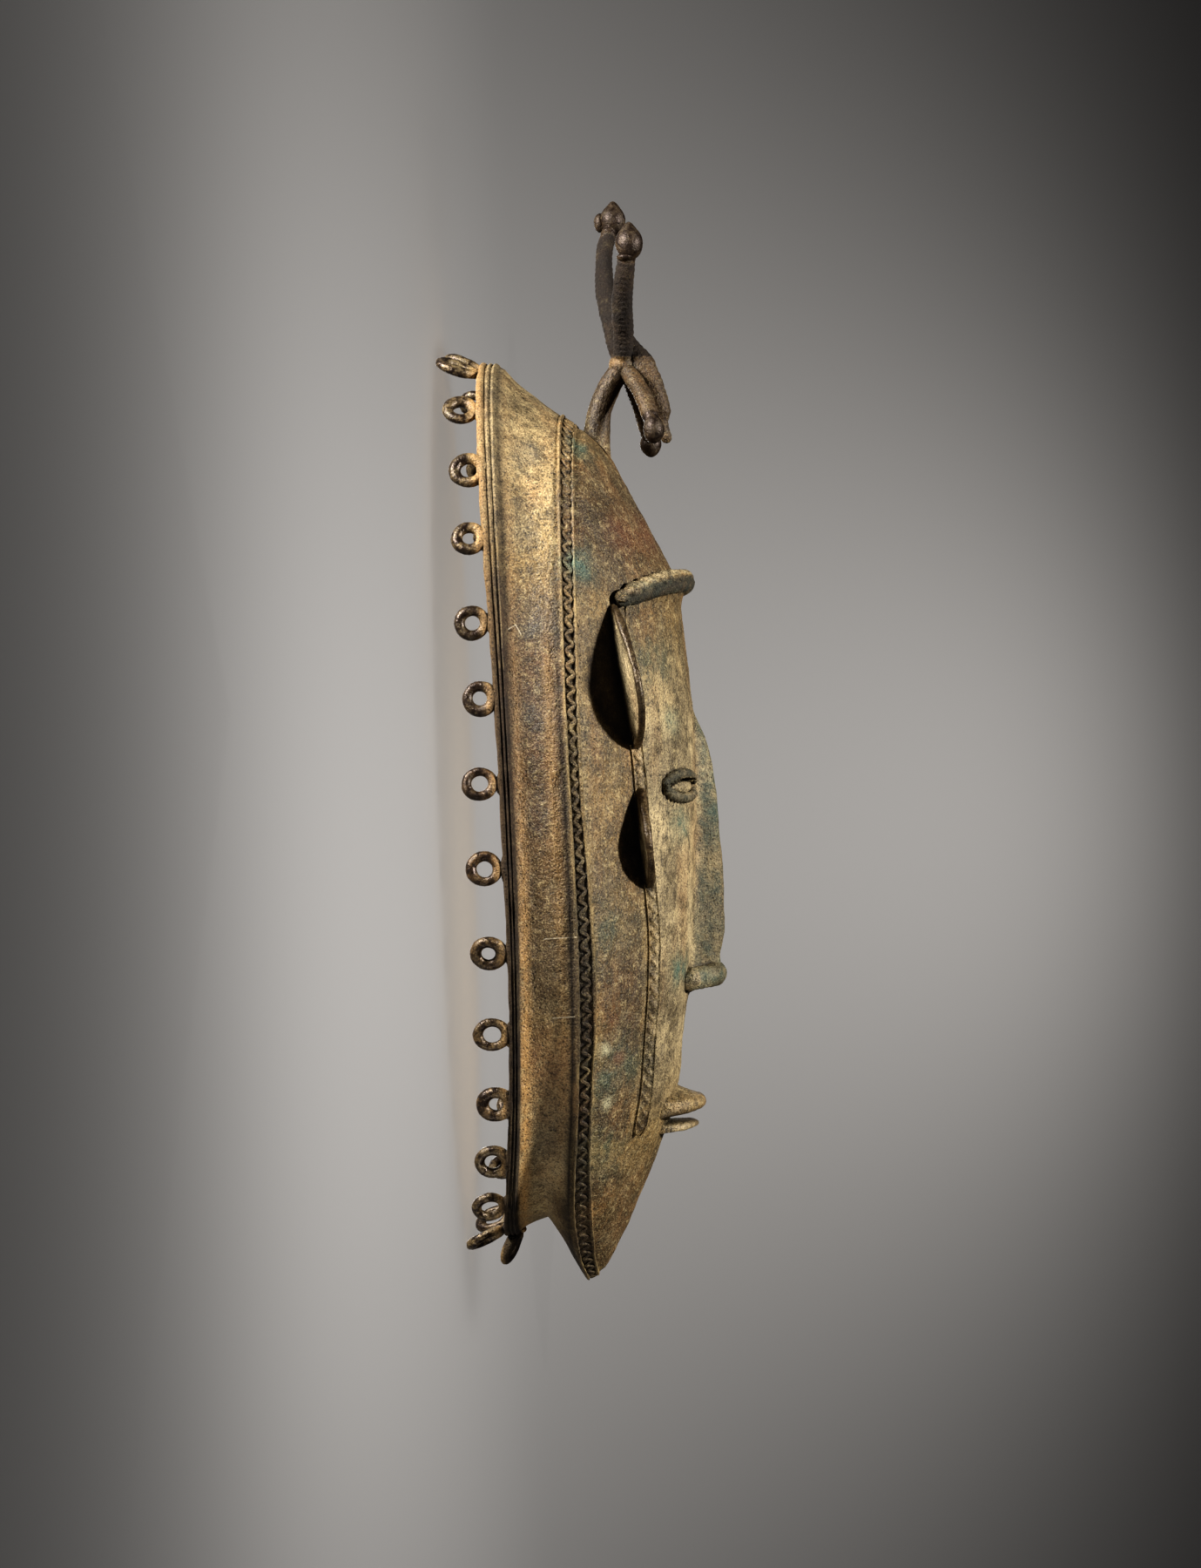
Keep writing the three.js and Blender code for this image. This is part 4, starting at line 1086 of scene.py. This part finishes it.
# %% Lay the colours of the patina on each other
MIX = {"data_type": "RGBA"}
skin = add(tree, "ShaderNodeMix", {0: add(tree, "ShaderNodeMapRange", {0: tone_and_painted_light, 1: 0, 2: 0.5}),
                                   6: "#472e18", 7: "#8b7349"}, **MIX)
LAYERS = [  # what draws it, from, to, how much at each, where, colour
    # The light end of the tone, which carries painted light as well.
    (tone_and_painted_light, 0.45, 1, 0, 1, None, "#c6b38d"),
    (patches, 0.44, 0.56, 0, 0.55, None, "#423728"),
    (clouds, 0.5, 0.68, 0, 0.34, None, "#92683c"),
    (blots, 0.5, 0.6, 0, 0.55, None, "#41341e"),
    (blots, 0.36, 0.46, 0.15, 0, None, "#b9a880"),
    (wrinkles, 0.36, 0.5, 0.42, 0, None, "#33291a"),
    (lumps, 0.32, 0.43, 0.6, 0, None, "#2a2013"),
    (lumps, 0.56, 0.68, 0, 0.4, None, "#c6b284"),
    (blots, 0.36, 0.6, 0.4, 1, slate, "#4a4741"),
    (blots, 0.36, 0.6, 0.4, 1, cuprite, "#7c4a30"),
    (blots, 0.36, 0.6, 0.3, 1, green, "#4a675a"),
    # Earth, which before the rim is partly a painted highlight.
    (blots, 0.32, 0.55, 0.3, 1, earth_and_highlight, "#b68f5a"),
    (blots, 0.32, 0.55, 0.5, 1, pale, "#b0a888"),
    # Painted shade: the hollows go nearly black.
    (crevice_shade, 0.25, 1, 0, 0.9, None, "#140e07"),
    (sand, 0.36, 0.5, 0.6, 0, None, "#221809"),
    (sand, 0.54, 0.64, 0, 0.24, None, "#d6c698"),
    (pits, 0.12, 0.28, 0.68, 0, None, "#110b05"),
    # Soot, and painted shadow and shade, all in one dark colour.
    (blots, 0.35, 0.6, 0.85, 1, soot_and_shade, "#1a1108"),
    # Lighter sharp edges: partly wear, partly a painted highlight.
    (edge, 0.35, 0.8, 0, 0.5, None, "#b19a6c")]
for drawn_by, low, high, least, most, where, colour in LAYERS:
    factor = add(tree, "ShaderNodeMapRange", {0: drawn_by, 1: low, 2: high, 3: least, 4: most})
    if where:
        factor = add(tree, "ShaderNodeMath", {0: factor, 1: where}, operation="MULTIPLY")
    skin = add(tree, "ShaderNodeMix", {0: factor, 6: skin, 7: colour}, **MIX)
print("Laid on each other:", len(LAYERS), "layers of colour")

# %% [markdown]
# ## Scratches and bare metal
#
# Four short pale scratches cross the near wall. Each is the distance from a line between two points, and
# that distance hardly counts X, so that a scratch follows the curve of the wall. Where hands rub, the
# skin gives way to bare metal, which is darker, more metallic and smoother than the skin.

# %% Scratch and polish it
SCRATCHES = [((-70, 32.2, 23.2), (-68.7, 33.5, 25.3)), ((-68.7, 33.5, 25.3), (-68.8, 30.6, 26.8)),
             ((-70.4, -62, 31), (-72.4, -61.7, 40.8)), ((-65.8, -86.3, 32.5), (-66.7, -86, 39.2))]
SHARE_OF_X = 0.15
near_side = add(tree, "ShaderNodeMapping", {"Vector": place, "Scale": (SHARE_OF_X, 1, 1)})
for first, last in SCRATCHES:
    start, end = (Vector((SHARE_OF_X * end[0], end[1], end[2])) * MM for end in (first, last))
    way = end - start
    offset = add(tree, "ShaderNodeVectorMath", {0: near_side, 1: start}, operation="SUBTRACT")
    along = add(tree, "ShaderNodeVectorMath", {0: offset, 1: way / way.length_squared},
                operation="DOT_PRODUCT")
    along = add(tree, "ShaderNodeClamp", {0: along.outputs["Value"]})
    nearest = add(tree, "ShaderNodeVectorMath", {0: way, "Scale": along}, operation="SCALE")
    off_line = add(tree, "ShaderNodeVectorMath", {0: offset, 1: nearest}, operation="DISTANCE")
    factor = add(tree, "ShaderNodeMapRange", {0: off_line.outputs["Value"], 1: 0.08 * MM, 2: 0.24 * MM,
                                              3: 0.5, 4: 0})
    skin = add(tree, "ShaderNodeMix", {0: factor, 6: skin, 7: "#d9ccb0"}, **MIX)
open_surface = add(tree, "ShaderNodeMapRange", {0: crevice_shade, 1: 0.3, 2: 0.8, 3: 1, 4: 0.4})
bare = add(tree, "ShaderNodeMath", {0: handled, 1: open_surface}, operation="MULTIPLY")
uneven_wear = add(tree, "ShaderNodeMapRange", {0: lumps, 1: 0.4, 2: 0.58, 3: 0.4, 4: 1})
bare = add(tree, "ShaderNodeMath", {0: bare, 1: uneven_wear}, operation="MULTIPLY")
skin = add(tree, "ShaderNodeMix", {0: bare, 6: skin, 7: "#342921"}, **MIX)
tree.links.new(skin.outputs[2], shader.inputs["Base Color"])
for socket, matt, polished in (("Metallic", 0.05, 0.6), ("Roughness", 0.58, 0.28)):
    finish = add(tree, "ShaderNodeMapRange", {0: bare, 3: matt, 4: polished})
    tree.links.new(finish.outputs[0], shader.inputs[socket])
duller = add(tree, "ShaderNodeMath", {0: soot_and_shade, 1: 0.3, 2: finish}, operation="MULTIPLY_ADD", use_clamp=True)
tree.links.new(duller.outputs[0], shader.inputs["Roughness"])
print("The patina has", len(tree.nodes), "nodes")

# %% Add its relief
relief = None
less_where_handled = add(tree, "ShaderNodeMapRange", {0: handled, 3: 1, 4: 0.45})
small_pits = add(tree, "ShaderNodeMapRange", {0: pits, 1: 0.05, 2: 0.35})
for height, depth_mm in ((blots, 0.9), (lumps, 0.44), (wrinkles, 0.34), (sand, 0.3), (small_pits, 0.12)):
    sockets = {"Height": height, "Distance": depth_mm * MM, "Strength": less_where_handled}
    if relief:
        sockets["Normal"] = relief
    relief = add(tree, "ShaderNodeBump", sockets)
tree.links.new(relief.outputs[0], shader.inputs["Normal"])
mask.data.materials.clear()
mask.data.materials.append(brass)
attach(mask, "root")
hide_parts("mask")
print("The casting has its patina")

# %% [markdown]
# ## Floor and light
#
# The mask lies on a plain pale paper that rises gently behind it. A small lamp high above the face throws the
# ears' dark shadows, one low beside the crest picks out the loops and the upper wall, and a weak one lights
# the chin. Another lights the far side, for whoever walks round. Each lamp lights either the mask or the
# paper, so the mask can stand in strong light before an even, darker paper, as in a museum's picture.

# %% The paper floor
PAPER_STEPS = ((0.15, 0), (0.25, 0.04), (0.4, 0.16), (0.6, 0.32), (1.2, 0.8))


def paper_floor():
    """A sheet whose far edge is drawn on and up in steps, which are then softened to a curve."""
    bpy.ops.mesh.primitive_plane_add(size=5, location=(-2.3, 0, 0))
    made = new_object("paper_floor")
    bpy.ops.object.transform_apply(location=True, rotation=False, scale=False)
    edit_from(made, [vertex.index for vertex in made.data.vertices if vertex.co.x > 0])
    for run, rise in PAPER_STEPS:
        bpy.ops.mesh.extrude_region_move(TRANSFORM_OT_translate={"value": (run, 0, rise)})
    bpy.ops.object.mode_set(mode="OBJECT")
    soften = made.modifiers.new("soften", "SUBSURF")
    soften.subdivision_type = "CATMULL_CLARK"
    soften.levels = soften.render_levels = 3
    apply_step(made, soften)
    bpy.ops.object.shade_smooth()
    made.visible_shadow = made.visible_diffuse = False
    return made


floor = paper_floor()
paper = bpy.data.materials.new("plain_pale_paper")
paper.use_nodes = True
sheet = paper.node_tree.nodes["Principled BSDF"]
sheet.inputs["Base Color"].default_value = linear("#a8a5a2")
sheet.inputs["Roughness"].default_value = 0.95
floor.data.materials.append(paper)
print("The paper reaches", round(max(v.co.x for v in floor.data.vertices), 2), "m behind the mask")

# %% The lamps
def lamp(name, way, distance, size, length, power_watts, aim, lit, shadow=True, spread_degrees=180):
    """A soft lamp that looks at a point from a direction, in metres and watts, and lights one object."""
    data = bpy.data.lights.new(name, "AREA")
    data.shape = "RECTANGLE"
    data.size, data.size_y = size, length
    data.energy = power_watts
    data.use_shadow = shadow
    data.spread = math.radians(spread_degrees)
    made = bpy.data.objects.new(name, data)
    bpy.context.scene.collection.objects.link(made)
    target = Vector(aim) * MM
    made.location = target + Vector(way).normalized() * distance
    made.rotation_euler = (target - made.location).to_track_quat("-Z", "Y").to_euler()
    receivers = bpy.data.collections.new(name + "_lights")
    receivers.objects.link(lit)
    made.light_linking.receiver_collection = receivers
    return made


# Direction, distance, width and length in metres, watts, the point it looks at, and what it lights.
NOSE_BRIDGE, UPPER_WALL, CHIN = (0, -20, 40), (-60, 60, 25), (-45, -155, 25)
PAPER_BEHIND, PAPER_BEFORE = (320, -38, 0), (-2600, 0, 0)
lamp("lamp_above_the_face", (-0.36, 0.22, 0.9), 1.6, 0.12, 0.12, 34, NOSE_BRIDGE, mask)
lamp("lamp_low_beside_the_crest", (-0.42, 0.6, -0.68), 0.5, 0.16, 0.16, 7, UPPER_WALL, mask)
lamp("lamp_low_beside_the_chin", (-0.6, -0.7, -0.1), 0.5, 0.16, 0.16, 0.05, CHIN, mask, spread_degrees=40)
lamp("lamp_low_on_the_far_side", (0.85, 0.1, -0.2), 1.5, 0.5, 0.5, 11, NOSE_BRIDGE, mask)
lamp("lamp_over_the_paper", (-0.18, 0, 1), 0.42, 0.1, 1.7, 2.8, PAPER_BEHIND, floor, shadow=False)
lamp("lamp_for_a_soft_shadow", (-0.18, 0, 1), 0.42, 0.1, 1.7, 0.8, PAPER_BEHIND, floor)
lamp("lamp_over_the_near_paper", (0, 0, 1), 1.6, 1.5, 3, 8, PAPER_BEFORE, floor, shadow=False)

# %% The studio around it
world = bpy.data.worlds.new("studio")
bpy.context.scene.world = world
world.use_nodes = True
sky = world.node_tree.nodes["Background"]
sky.inputs["Color"].default_value = linear("#d8d8dc")
sky.inputs["Strength"].default_value = 0.025
bpy.context.scene.view_settings.view_transform = "Standard"
bpy.context.scene.view_settings.look = "High Contrast"
print("The stage is lit")
